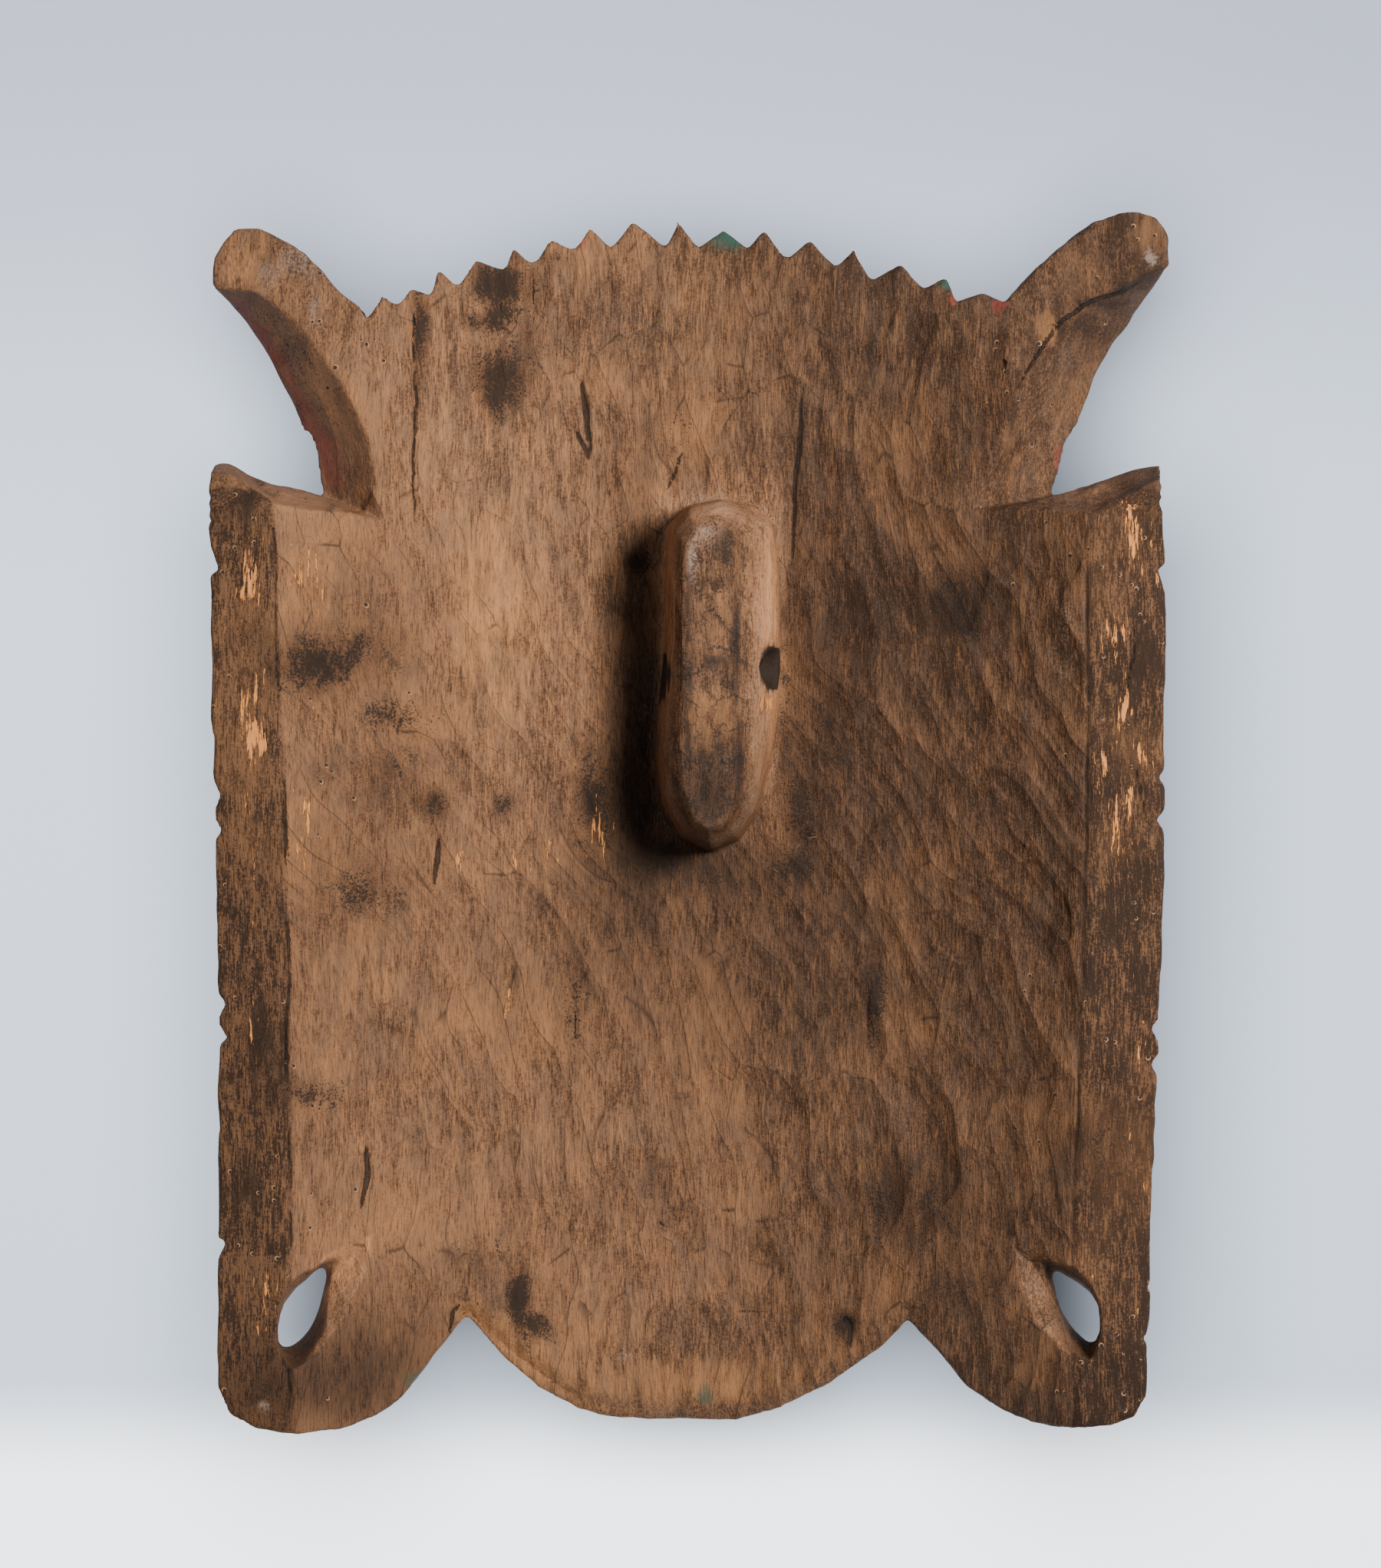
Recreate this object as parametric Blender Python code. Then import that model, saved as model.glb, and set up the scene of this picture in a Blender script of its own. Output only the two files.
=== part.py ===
"""Carved wooden mask with horns, a toothed crest and long ears, lying on its face with the hollow back up.

X runs across the mask, Y from the chin to the crest, Z from the face out through the back.
The origin is below the middle of the mask, on the surface that the face lies on.
Places in the plan are whole thousandths of the mask's height, and depths and fits are metres.
"""

import math

import bmesh
import bpy
import numpy as np

# Main sizes
HEIGHT = 0.632
FLANGE_LEVEL = 0.160
HOLLOW_DEPTH = 0.070
HOLLOW_SHAPE = 0.62
FLANGE_FALL = 0.003

# Walls
EAR_THICKNESS = 0.042
CREST_THICKNESS = 0.036
HORN_THICKNESS = 0.056
HORN_LEVEL = 0.138
HORN_TIP_DROP = 0.016
GAP_WALL = 0.032
CHIN_BEVEL = 0.007

# Lug on the back and the hole through it
LUG_HEIGHT = 0.067
LUG_ROOT = 0.012
LUG_HOLE_DIAMETER = 0.024
LUG_HOLE_HEIGHT = 0.027
LUG_HOLE_PLACE = 124

# Relief of the face, as heights above the surface around it
SOCKET_DEPTH = 0.013
CHEEK_RELIEF = 0.007
CHIN_RELIEF = 0.010
FLUTE_DEPTH = 0.008
EAR_HOLLOW_DEPTH = 0.008
EAR_CROWN = 0.003
EAR_BAND_RELIEF = 0.004
EAR_BAND_HALF_HEIGHT = 14
EAR_MIDDLE = 325
EAR_HALF_WIDTH = 65
EAR_PANELS = [(110, 74), (-80, 54), (-262, 62)]
EAR_BANDS = [5, -164, 214]
BAND_THICKNESS = 0.012
LOBE_WALL = 0.030

# Grid that the front is carved on
FACE_COLUMNS = 32
EAR_COLUMNS = 6
ROW_STEP = 22
CUT_MARGIN = 0.040

UNIT = HEIGHT / 1000.0
SPAN = 430
REACH = 540

# Teeth of the crest, as tip and the valley after it
CREST_START = (-266, 408)
CREST_TEETH = [
    ((-253, 431), (-239, 423)), ((-229, 437), (-213, 431)), ((-207, 453), (-191, 439)),
    ((-177, 463), (-153, 455)), ((-146, 474), (-130, 461)), ((-115, 482), (-95, 473)),
    ((-83, 492), (-66, 474)), ((-47, 496), (-20, 476)), ((-10, 497), (7, 475)),
    ((28, 490), (48, 474)), ((62, 489), (80, 465)), ((100, 481), (121, 459)),
    ((136, 473), (150, 445)), ((174, 457), (193, 436)), ((210, 444), (218, 424)),
    ((240, 432), (259, 424)),
]

# Horns and shoulders, each line from the tip or corner towards the root
LEFT_HORN_TOP = [(-270, 420), (-289, 435), (-304, 452), (-320, 467), (-338, 477), (-355, 485), (-374, 485)]
LEFT_HORN_TIP = [(-382, 475), (-390, 462), (-392, 448)]
LEFT_HORN_FRONT = [(-391, 439), (-375, 423), (-346, 382), (-328, 342), (-313, 303), (-310, 271)]
LEFT_HORN_BACK = [(-388, 436), (-352, 432), (-322, 409), (-286, 361), (-262, 312), (-251, 243)]
LEFT_SHOULDER_FRONT = [(-310, 271), (-330, 273), (-351, 277), (-365, 283), (-379, 293), (-400, 293)]
LEFT_SHOULDER_BACK = [(-251, 243), (-288, 252), (-316, 253), (-343, 263), (-380, 287), (-400, 288)]
RIGHT_HORN_TOP = [(367, 500), (351, 499), (335, 495), (314, 480), (293, 462), (273, 441)]
RIGHT_HORN_TIP = [(394, 461), (394, 477), (391, 485), (383, 495)]
RIGHT_HORN_FRONT = [(394, 457), (372, 426), (349, 395), (329, 353), (318, 314), (314, 271)]
RIGHT_HORN_BACK = [(391, 454), (353, 439), (310, 412), (275, 371), (253, 310), (232, 252)]
RIGHT_SHOULDER_FRONT = [(314, 271), (333, 277), (353, 283), (366, 289), (372, 292), (400, 292)]
RIGHT_SHOULDER_BACK = [(232, 252), (269, 257), (301, 257), (322, 253), (350, 266), (400, 287)]
HORN_STATIONS = 9
SHOULDER_STATIONS = 6
HORN_ROOT = 252
HORN_DROP_START = 360
HORN_DROP_END = 480
AWAY = 470

# Outer edges of the ears, with notches given by height, depth and the reach of each flank
LEFT_EDGE = [(-390, 267), (-387, 43), (-383, -144), (-383, -461)]
LEFT_NOTCHES = [
    (262, 3, 4, 4), (252, 3, 4, 4), (243, 3, 4, 4), (202, 8, 22, 3), (20, 6, 14, 10),
    (-9, 6, 9, 7), (-150, 6, 8, 8), (-178, 7, 11, 6), (-342, 7, 2, 14),
]
RIGHT_EDGE = [(371, -433), (377, -286), (384, -69), (386, 267)]
RIGHT_NOTCHES = [
    (-421, 5, 5, 6), (-380, 3, 5, 4), (-199, 6, 9, 8), (-170, 6, 8, 9), (0, 7, 8, 9),
    (34, 6, 8, 7), (205, 8, 3, 20), (258, 3, 4, 4), (267, 3, 4, 4), (276, 3, 4, 4),
]
LEFT_LOBE = [
    (-383, -461), (-374, -482), (-352, -494), (-318, -499), (-288, -499), (-261, -490),
    (-236, -473), (-216, -449), (-184, -410),
]
CHIN = [
    (-184, -410), (-158, -441), (-126, -471), (-92, -490), (-58, -499), (38, -499),
    (76, -489), (118, -468), (158, -437), (180, -413),
]
RIGHT_LOBE = [
    (180, -413), (203, -436), (229, -466), (256, -483), (282, -493), (319, -494),
    (343, -491), (360, -484), (370, -469), (371, -433),
]

# Line where the hollow meets the flat of each ear, as height and distance from the middle
LEFT_RIDGE = [(-520, 323), (-296, 325), (-20, 328), (240, 338)]
RIGHT_RIDGE = [(-520, 311), (-296, 312), (-20, 323), (240, 323)]
BEVEL_STATIONS = 29
BACK_ROWS = [-540, -296, -20, 150, 252, 300, 360, 420, 480, 540]
HOLLOW_COLUMNS = 22

# Hole through each ear lobe, as a rim on the back and a smaller opening in front
LEFT_HOLE_BACK = [
    (-257, -336), (-300, -359), (-324, -375), (-334, -407), (-325, -447), (-298, -433),
    (-278, -405), (-265, -367),
]
LEFT_HOLE_FRONT = [
    (-298, -366), (-317, -378), (-334, -396), (-340, -418), (-335, -434), (-319, -428),
    (-308, -410), (-301, -390),
]
RIGHT_HOLE_BACK = [
    (266, -348), (301, -358), (322, -376), (333, -404), (326, -440), (301, -430),
    (278, -400), (266, -371),
]
RIGHT_HOLE_FRONT = [
    (298, -368), (320, -382), (335, -398), (338, -416), (331, -431), (317, -422),
    (306, -407), (300, -388),
]
HOLE_POINTS = 16

# Lug outline at its root and at its flat crown, station by station
LUG_ROOT_LINE = [
    (26, 266), (-2, 260), (-18, 243), (-21, 205), (-21, 150), (-26, 100), (-30, 50),
    (-24, 12), (-8, -16), (18, -28), (42, -18), (58, 6), (67, 45), (74, 95),
    (76, 150), (76, 205), (72, 243), (54, 260),
]
LUG_CROWN_LINE = [
    (18, 238), (6, 234), (-3, 222), (-5, 195), (-5, 150), (-6, 100), (-7, 55),
    (-5, 25), (4, 1), (16, -8), (28, -2), (36, 18), (38, 52), (39, 98),
    (40, 150), (40, 198), (37, 224), (30, 234),
]
LUG_RINGS = [(0.0, 0.0), (0.40, 0.08), (0.64, 0.22), (0.80, 0.42), (0.92, 0.70), (1.0, 1.0)]

# Face, as height against half width and against the depth of its middle line
FACE_WIDTHS = [
    (-520, 90), (-470, 148), (-400, 178), (-300, 207), (-200, 234), (-100, 252),
    (0, 264), (100, 266), (200, 256), (262, 246), (420, 262), (520, 268),
]
FACE_PROFILE = [
    (-520, 0.052), (-470, 0.030), (-420, 0.022), (-340, 0.025), (-230, 0.033),
    (-120, 0.037), (-30, 0.040), (30, 0.031), (100, 0.032), (200, 0.038), (262, 0.044),
]
FACE_ROUNDNESS = 2.4
FACE_SIDE_LEVEL = 0.122
SIDE_STEP = 3

# Nose, as height along the face, half width and level of its ridge
NOSE_SECTIONS = [
    (34, 16, 0.033), (-20, 17, 0.026), (-80, 24, 0.016), (-140, 33, 0.006),
    (-178, 40, 0.0), (-204, 41, 0.0), (-217, 36, 0.008),
]
NOSE_ROOT_LEVEL = 0.050
NOSTRIL = ((47, -194), (24, 24), 0.034, 0.021)
EYE = ((104, -46), (58, 29), 0.060, 0.018)
UPPER_LIP = ((34, -270), (54, 17), 0.034, 0.013)
LOWER_LIP = ((0, -303), (68, 22), 0.033, 0.016)
BROW_LINE = [(26, 12), (62, 40), (108, 54), (156, 44), (196, 10)]
BROW_RADIUS = 0.0095
BROW_SINK = 0.001
EYE_PLACE = (104, -44)
SOCKET_RADII = (80, 46)
CHEEK_PLACE = (150, -165)
CHEEK_RADII = (78, 96)
CHIN_PLACE = (0, -400)
CHIN_RADII = (80, 54)
BAND_BOTTOM = 206
BAND_TOP = 264
BOSS_PLACES = (-168, -84, 0, 84, 168)
BOSS_HEIGHT = 0.034
BOSS_ROOT = 0.010
BOSS_RINGS = [(31, 1.0), (29, 0.36), (24, 0.10), (16, 0.0)]
BOSS_SIDES = 14
HORN_MIDDLE = [(250, 270), (268, 330), (300, 405), (340, 452), (385, 480)]
HORN_HALF_WIDTH = 52
HORN_ROUNDING = 0.024

WOOD_COLOUR = (0.185, 0.098, 0.055, 1.0)
WOOD_ROUGHNESS = 0.72


def table(places, rows):
    """Reads a value at each place from a short list of (place, value) rows."""
    return np.interp(places, [row[0] for row in rows], [row[1] for row in rows])


def bump(u, v, middle, radii, height, power=1.0):
    """A smooth oval swelling, zero outside its radii."""
    spread = ((u - middle[0]) / radii[0]) ** 2 + ((v - middle[1]) / radii[1]) ** 2
    return height * np.clip(1.0 - spread, 0.0, 1.0) ** power


def distance_to_line(u, v, points):
    """Distance of each place from a line of points."""
    best = np.full(np.shape(u), 1e9)
    for (au, av), (bu, bv) in zip(points, points[1:]):
        du, dv = bu - au, bv - av
        along = np.clip(((u - au) * du + (v - av) * dv) / (du ** 2 + dv ** 2), 0.0, 1.0)
        best = np.minimum(best, np.hypot(u - au - along * du, v - av - along * dv))
    return best


def hollow_level(u, v):
    """The hollow's bowed floor, which reaches the flange level at the ridges."""
    ridge = np.where(u < 0, table(v, LEFT_RIDGE), table(v, RIGHT_RIDGE))
    share = np.minimum(np.abs(u) / ridge, 1.0)
    bow = 1.0 - np.sqrt(1.0 - (HOLLOW_SHAPE * share) ** 2)
    return FLANGE_LEVEL - HOLLOW_DEPTH * (1.0 - bow / (1.0 - math.sqrt(1.0 - HOLLOW_SHAPE ** 2)))


def back_level(u, v):
    """The back surface: hollow, flat flanges that fall a little outwards, and lower horns."""
    u, v = np.asarray(u, float), np.asarray(v, float)
    ridge = np.where(u < 0, table(v, LEFT_RIDGE), table(v, RIGHT_RIDGE))
    outside = np.clip((np.abs(u) - ridge) / (SPAN - ridge), 0.0, 1.0)
    level = hollow_level(u, v) - FLANGE_FALL * outside
    fall = np.clip((v - HORN_DROP_START) / (HORN_DROP_END - HORN_DROP_START), 0.0, 1.0)
    horn = HORN_LEVEL - HORN_TIP_DROP * fall
    return np.where(v > HORN_ROOT, np.minimum(level, horn), level)


def face_surface(u, v):
    """The head without its features, an oval dome that drops steeply at the cheeks."""
    width = table(v, FACE_WIDTHS)
    middle = table(v, FACE_PROFILE)
    share = np.clip(np.abs(u) / width, 0.0, 1.0)
    dome = (1.0 - share ** FACE_ROUNDNESS) ** (1.0 / FACE_ROUNDNESS)
    level = middle + (FACE_SIDE_LEVEL - middle) * (1.0 - dome)
    return np.where((share >= 1.0) | (v > BAND_TOP), FACE_SIDE_LEVEL + 0.02, level)


def face_relief(u, v):
    """Height of the broad forms over the head's surface: eye sockets, cheeks and chin."""
    side = np.abs(u)
    relief = bump(side, v, CHEEK_PLACE, CHEEK_RADII, CHEEK_RELIEF)
    relief = relief + bump(u, v, CHIN_PLACE, CHIN_RADII, CHIN_RELIEF, 0.8)
    return relief - bump(side, v, EYE_PLACE, SOCKET_RADII, SOCKET_DEPTH, 0.8)


def band_level(u, v):
    """The head band, which follows the forehead round."""
    ring = face_surface(u, np.minimum(v, BAND_TOP)) - BAND_THICKNESS
    return np.where((v > BAND_BOTTOM) & (v < BAND_TOP), ring, 1.0)


def horn_level(u, v):
    """The rounded front of each horn."""
    share = distance_to_line(np.abs(u), v, HORN_MIDDLE) / HORN_HALF_WIDTH
    level = back_level(u, v) - HORN_THICKNESS + HORN_ROUNDING * np.minimum(share, 1.0) ** 2
    return np.where(share < 1.25, level, 1.0)


def crest_level(u, v):
    """The fluted front of the crest, one flute to a tooth."""
    place = 0.25 * FACE_COLUMNS * (1.0 + u / table(v, FACE_WIDTHS))
    ridge = np.abs((place % 1.0) - 0.5) * 2.0
    return back_level(u, v) - CREST_THICKNESS - FLUTE_DEPTH * (1.0 - ridge)


def ear_level(u, v):
    """The long ear with sunk panels and raised bands, and the thinner wall towards the face."""
    side = np.abs(u)
    crown = EAR_CROWN * ((side - EAR_MIDDLE) / EAR_HALF_WIDTH) ** 2
    level = np.minimum(FLANGE_LEVEL - EAR_THICKNESS, back_level(u, v) - LOBE_WALL) + crown
    for middle, radius in EAR_PANELS:
        radii = (0.55 * EAR_HALF_WIDTH, radius)
        level = level + bump(side, v, (EAR_MIDDLE, middle), radii, EAR_HOLLOW_DEPTH, 0.6)
    for middle in EAR_BANDS:
        level = level - np.where(np.abs(v - middle) < EAR_BAND_HALF_HEIGHT, EAR_BAND_RELIEF, 0.0)
    return level


def front_level(u, v):
    """Depth of the carved front at each place, the lowest of all its forms."""
    u, v = np.asarray(u, float), np.asarray(v, float)
    face = face_surface(u, v) - np.where(np.abs(u) < table(v, FACE_WIDTHS), face_relief(u, v), 0.0)
    plate = np.where(v > BAND_TOP - SIDE_STEP, crest_level(u, v), ear_level(u, v))
    level = np.minimum(np.minimum(face, plate), band_level(u, v))
    return np.minimum(level, np.where(v > HORN_ROOT - 0.5 * ROW_STEP, horn_level(u, v), 1.0))


def ruled(edges, step):
    """Grid lines that keep every edge and fill the spaces between in even steps."""
    lines = [edges[0]]
    for low, high in zip(edges, edges[1:]):
        parts = max(1, round((high - low) / step))
        lines += [low + (high - low) * (k + 1) / parts for k in range(parts)]
    return lines


def face_columns(v):
    """Grid places across one row, which keep to the sides of the face."""
    width = float(table(v, FACE_WIDTHS))
    ear = [SPAN - (SPAN - width - SIDE_STEP) * k / EAR_COLUMNS for k in range(EAR_COLUMNS + 1)]
    middle = [width * (2.0 * k / FACE_COLUMNS - 1.0) for k in range(FACE_COLUMNS + 1)]
    return [-place for place in ear] + middle + ear[::-1]


def resampled(points, count):
    """The same line with a given number of evenly spaced points."""
    line = np.array(points, float)
    steps = np.concatenate([[0.0], np.cumsum(np.hypot(*np.diff(line, axis=0).T))])
    places = np.linspace(0.0, steps[-1], count)
    across = np.interp(places, steps, line[:, 0])
    along = np.interp(places, steps, line[:, 1])
    return [(float(u), float(v)) for u, v in zip(across, along)]


def between(near, t):
    """A point on the smooth curve between the two middle points of four."""
    p0, p1, p2, p3 = (np.array(point, float) for point in near)
    square = 2 * p0 - 5 * p1 + 4 * p2 - p3
    cube = 3 * p1 - p0 - 3 * p2 + p3
    return tuple(0.5 * (2 * p1 + (p2 - p0) * t + square * t ** 2 + cube * t ** 3))


def smooth_ring(points, count):
    """A closed smooth curve through a ring of points, which starts at the first."""
    ring = []
    total = len(points)
    for index in range(count):
        place = index * total / count
        start = int(place)
        near = [points[(start + k) % total] for k in (-1, 0, 1, 2)]
        ring.append(between(near, place - start))
    return ring


def notched_edge(edge, notches, sense):
    """Points down or up an ear's edge, with its notches; sense is -1 on the left and 1 on the right."""
    rows = sorted((v, u) for u, v in edge)
    points = [(u, v) for u, v in edge]
    for middle, depth, above, below in notches:
        flanks = [(middle + above, 0), (middle, depth), (middle - below, 0)]
        points = [p for p in points if not middle - below <= p[1] <= middle + above]
        points += [(float(table(v, rows)) - sense * cut, v) for v, cut in flanks]
    return sorted(points, key=lambda p: p[1] * sense)


def smooth_line(points, count):
    """An open smooth curve through the points."""
    line = []
    total = len(points)
    for index in range(count):
        place = min(index * (total - 1) / (count - 1), total - 1 - 1e-9)
        start = int(place)
        near = [points[min(max(start + k, 0), total - 1)] for k in (-1, 0, 1, 2)]
        line.append(between(near, place - start))
    return line


def mesh_object(name, mesh, collection):
    thing = bpy.data.objects.new(name, mesh)
    collection.objects.link(thing)
    return thing


def finished(name, work, collection):
    """Turns a bmesh into an object with outward faces."""
    bmesh.ops.remove_doubles(work, verts=work.verts, dist=1e-6)
    bmesh.ops.recalc_face_normals(work, faces=work.faces)
    mesh = bpy.data.meshes.new(name)
    work.to_mesh(mesh)
    work.free()
    return mesh_object(name, mesh, collection)


def cutter(thing):
    thing.hide_render = True
    thing.display_type = 'WIRE'
    return thing


def loft(name, rings, collection):
    """A closed solid through rings of equal count, each ring a list of (x, y, z) in metres."""
    work = bmesh.new()
    levels = [[work.verts.new(point) for point in ring] for ring in rings]
    for low, high in zip(levels, levels[1:]):
        for k in range(len(low)):
            after = (k + 1) % len(low)
            work.faces.new((low[k], low[after], high[after], high[k]))
    work.faces.new(levels[0])
    work.faces.new(levels[-1])
    bmesh.ops.triangulate(work, faces=work.faces)
    return finished(name, work, collection)


def level_block(name, columns, rows, level, far, collection):
    """A block with one carved side: a grid at the level function, and a flat side at far."""
    work = bmesh.new()
    grid = []
    for v, places in zip(rows, columns):
        heights = level(np.array(places), np.full(len(places), float(v)))
        grid.append([work.verts.new((u * UNIT, v * UNIT, float(z))) for u, z in zip(places, heights)])
    for low, high in zip(grid, grid[1:]):
        for k in range(len(low) - 1):
            work.faces.new((low[k], low[k + 1], high[k + 1], high[k]))
    carved = list(work.faces)
    made = bmesh.ops.extrude_face_region(work, geom=carved)['geom']
    for vert in made:
        if isinstance(vert, bmesh.types.BMVert):
            vert.co.z = far
    return finished(name, work, collection)


def outline():
    """The whole plan of the mask, run anticlockwise from the top of the left ear."""
    points = notched_edge(LEFT_EDGE, LEFT_NOTCHES, -1)
    points += LEFT_LOBE[1:] + CHIN[1:] + RIGHT_LOBE[1:-1]
    points += notched_edge(RIGHT_EDGE, RIGHT_NOTCHES, 1)
    points += [(389, 300)] + RIGHT_HORN_TIP + RIGHT_HORN_TOP
    for tip, valley in reversed(CREST_TEETH):
        points += [valley, tip]
    points += [CREST_START] + LEFT_HORN_TOP + LEFT_HORN_TIP + [(-392, 300)]
    return points


def blank(collection):
    """The sawn board that everything is carved from, as a filled flat outline."""
    curve = bpy.data.curves.new('blank', 'CURVE')
    curve.dimensions = '2D'
    curve.fill_mode = 'BOTH'
    curve.extrude = 0.5 * (FLANGE_LEVEL + CUT_MARGIN)
    points = outline()
    spline = curve.splines.new('POLY')
    spline.points.add(len(points) - 1)
    for point, (u, v) in zip(spline.points, points):
        point.co = (u * UNIT, v * UNIT, 0.0, 1.0)
    spline.use_cyclic_u = True
    flat = bpy.data.objects.new('blank_outline', curve)
    collection.objects.link(flat)
    bpy.context.view_layer.update()
    mesh = bpy.data.meshes.new_from_object(flat.evaluated_get(bpy.context.evaluated_depsgraph_get()))
    bpy.data.objects.remove(flat)
    work = bmesh.new()
    work.from_mesh(mesh)
    bmesh.ops.translate(work, verts=work.verts, vec=(0.0, 0.0, 0.5 * FLANGE_LEVEL))
    bpy.data.meshes.remove(mesh)
    return finished('mask', work, collection)


def gap_cutter(name, horn_front, horn_back, shoulder_front, shoulder_back, collection):
    """The gap between horn and ear, whose walls slant out towards the front."""
    front = resampled(horn_front, HORN_STATIONS) + resampled(shoulder_front, SHOULDER_STATIONS)[1:]
    back = resampled(horn_back, HORN_STATIONS) + resampled(shoulder_back, SHOULDER_STATIONS)[1:]
    sense = math.copysign(1.0, front[0][0])
    front = [(sense * AWAY, front[0][1])] + front + [(sense * AWAY, front[-1][1])]
    back = [(sense * AWAY, back[0][1])] + back + [(sense * AWAY, back[-1][1])]
    high = []
    for k, (u, v) in enumerate(back):
        on_wood = v - 2 if k > HORN_STATIONS else v + 2
        high.append(float(back_level(u, on_wood)))
    beyond = [(2 * b[0] - f[0], 2 * b[1] - f[1]) for f, b in zip(front, back)]
    top = FLANGE_LEVEL + CUT_MARGIN
    rings = [
        [(u * UNIT, v * UNIT, -CUT_MARGIN) for u, v in front],
        [(u * UNIT, v * UNIT, z - GAP_WALL) for (u, v), z in zip(front, high)],
        [(u * UNIT, v * UNIT, z) for (u, v), z in zip(back, high)],
        [(u * UNIT, v * UNIT, top) for u, v in beyond],
    ]
    return cutter(loft(name, rings, collection))


def back_cutter(collection):
    """Everything above the back surface."""
    columns = []
    for v in BACK_ROWS:
        left, right = float(table(v, LEFT_RIDGE)), float(table(v, RIGHT_RIDGE))
        inner = [-left + (left + right) * k / HOLLOW_COLUMNS for k in range(HOLLOW_COLUMNS + 1)]
        columns.append([-AWAY] + inner + [AWAY])
    top = FLANGE_LEVEL + CUT_MARGIN
    return cutter(level_block('back_cut', columns, BACK_ROWS, back_level, top, collection))


def front_cutter(collection):
    """Everything below the carved front."""
    edges = [-REACH, EYE_PLACE[1], BAND_BOTTOM - 1, BAND_BOTTOM + 1, BAND_TOP - 1, BAND_TOP + 1, REACH]
    for middle in EAR_BANDS[:2]:
        edges += [middle + sense * (EAR_BAND_HALF_HEIGHT + gap) for sense in (-1, 1) for gap in (-1, 1)]
    rows = ruled(sorted(edges), ROW_STEP)
    columns = [face_columns(v) for v in rows]
    return cutter(level_block('front_cut', columns, rows, front_level, -CUT_MARGIN, collection))


def hole_cutter(name, back_rim, front_rim, collection):
    """A lobe's hole, a funnel from its back rim to the smaller opening in front."""
    back, front = smooth_ring(back_rim, HOLE_POINTS), smooth_ring(front_rim, HOLE_POINTS)
    high = FLANGE_LEVEL
    low = FLANGE_LEVEL - EAR_THICKNESS
    rings = [
        [(u * UNIT, v * UNIT, -CUT_MARGIN) for u, v in front],
        [(u * UNIT, v * UNIT, low + 0.25 * EAR_THICKNESS) for u, v in front],
        [(u * UNIT, v * UNIT, high) for u, v in back],
        [(u * UNIT, v * UNIT, high + CUT_MARGIN) for u, v in back],
    ]
    return cutter(loft(name, rings, collection))


def bevel_cutter(collection):
    """The chamfer round the back edge of the chin."""
    line = resampled(CHIN, BEVEL_STATIONS)[2:-2]
    rings = []
    for k, (u, v) in enumerate(line):
        ahead, behind = line[min(k + 1, len(line) - 1)], line[max(k - 1, 0)]
        along = np.array([ahead[0] - behind[0], ahead[1] - behind[1]])
        inward = np.array([-along[1], along[0]]) / np.hypot(*along)
        size = CHIN_BEVEL * (0.2 + 0.8 * math.sin(math.pi * k / (len(line) - 1)) ** 0.4)
        edge = np.array([u, v]) * UNIT
        inner = edge + inward * 2.0 * size
        outer = edge - inward * CHIN_BEVEL
        level = float(back_level(u, v))
        rings.append([
            (*outer, level - 0.8 * size - 0.8 * CHIN_BEVEL), (*inner, level + 0.8 * size),
            (*inner, level + 2.0 * CHIN_BEVEL), (*outer, level + 2.0 * CHIN_BEVEL),
        ])
    return cutter(loft('chin_bevel_cut', rings, collection))


def lug(collection):
    """The upright lug, whose sides round over to a flat worn crown."""
    base = float(hollow_level(0.0, 0.0))
    rings = [[(u * UNIT, v * UNIT, base - LUG_ROOT) for u, v in LUG_ROOT_LINE]]
    for rise, inset in LUG_RINGS:
        ring = []
        for (au, av), (bu, bv) in zip(LUG_ROOT_LINE, LUG_CROWN_LINE):
            u = au + (bu - au) * inset
            v = av + (bv - av) * inset
            ring.append((u * UNIT, v * UNIT, base + rise * LUG_HEIGHT))
        rings.append(ring)
    return cutter(loft('lug_form', rings, collection))


def lug_hole(collection):
    """The round hole across the lug."""
    bpy.ops.mesh.primitive_cylinder_add(
        vertices=16, radius=0.5 * LUG_HOLE_DIAMETER, depth=0.2 * HEIGHT,
        location=(22 * UNIT, LUG_HOLE_PLACE * UNIT, float(hollow_level(0.0, 0.0)) + LUG_HOLE_HEIGHT),
        rotation=(0.0, 0.5 * math.pi, 0.0))
    hole = bpy.context.object
    hole.name = 'lug_hole_cut'
    for owner in list(hole.users_collection):
        owner.objects.unlink(hole)
    collection.objects.link(hole)
    return cutter(hole)


def nose(collection):
    """The straight nose, whose tip is cut flat where the mask rests."""
    rings = []
    for v, half, ridge in NOSE_SECTIONS:
        flank = [(1.25, 1.0), (1.0, 0.55), (0.55, 0.08), (0.30, 0.0)]
        section = [(-share, rise) for share, rise in flank] + flank[::-1]
        depth = NOSE_ROOT_LEVEL - ridge
        rings.append([(share * half * UNIT, v * UNIT, ridge + rise * depth) for share, rise in section])
    return cutter(loft('nose_form', rings, collection))


def swelling(name, side, form, collection, columns=14, rings=8):
    """An oval swelling of the face: place, radii in the plan, level of its middle and depth radius."""
    (u, v), (ru, rv), level, depth = form
    work = bmesh.new()
    bmesh.ops.create_uvsphere(work, u_segments=columns, v_segments=rings, radius=1.0)
    bmesh.ops.scale(work, verts=work.verts, vec=(ru * UNIT, rv * UNIT, depth))
    bmesh.ops.translate(work, verts=work.verts, vec=(side * u * UNIT, v * UNIT, level))
    return cutter(finished(name, work, collection))


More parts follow.
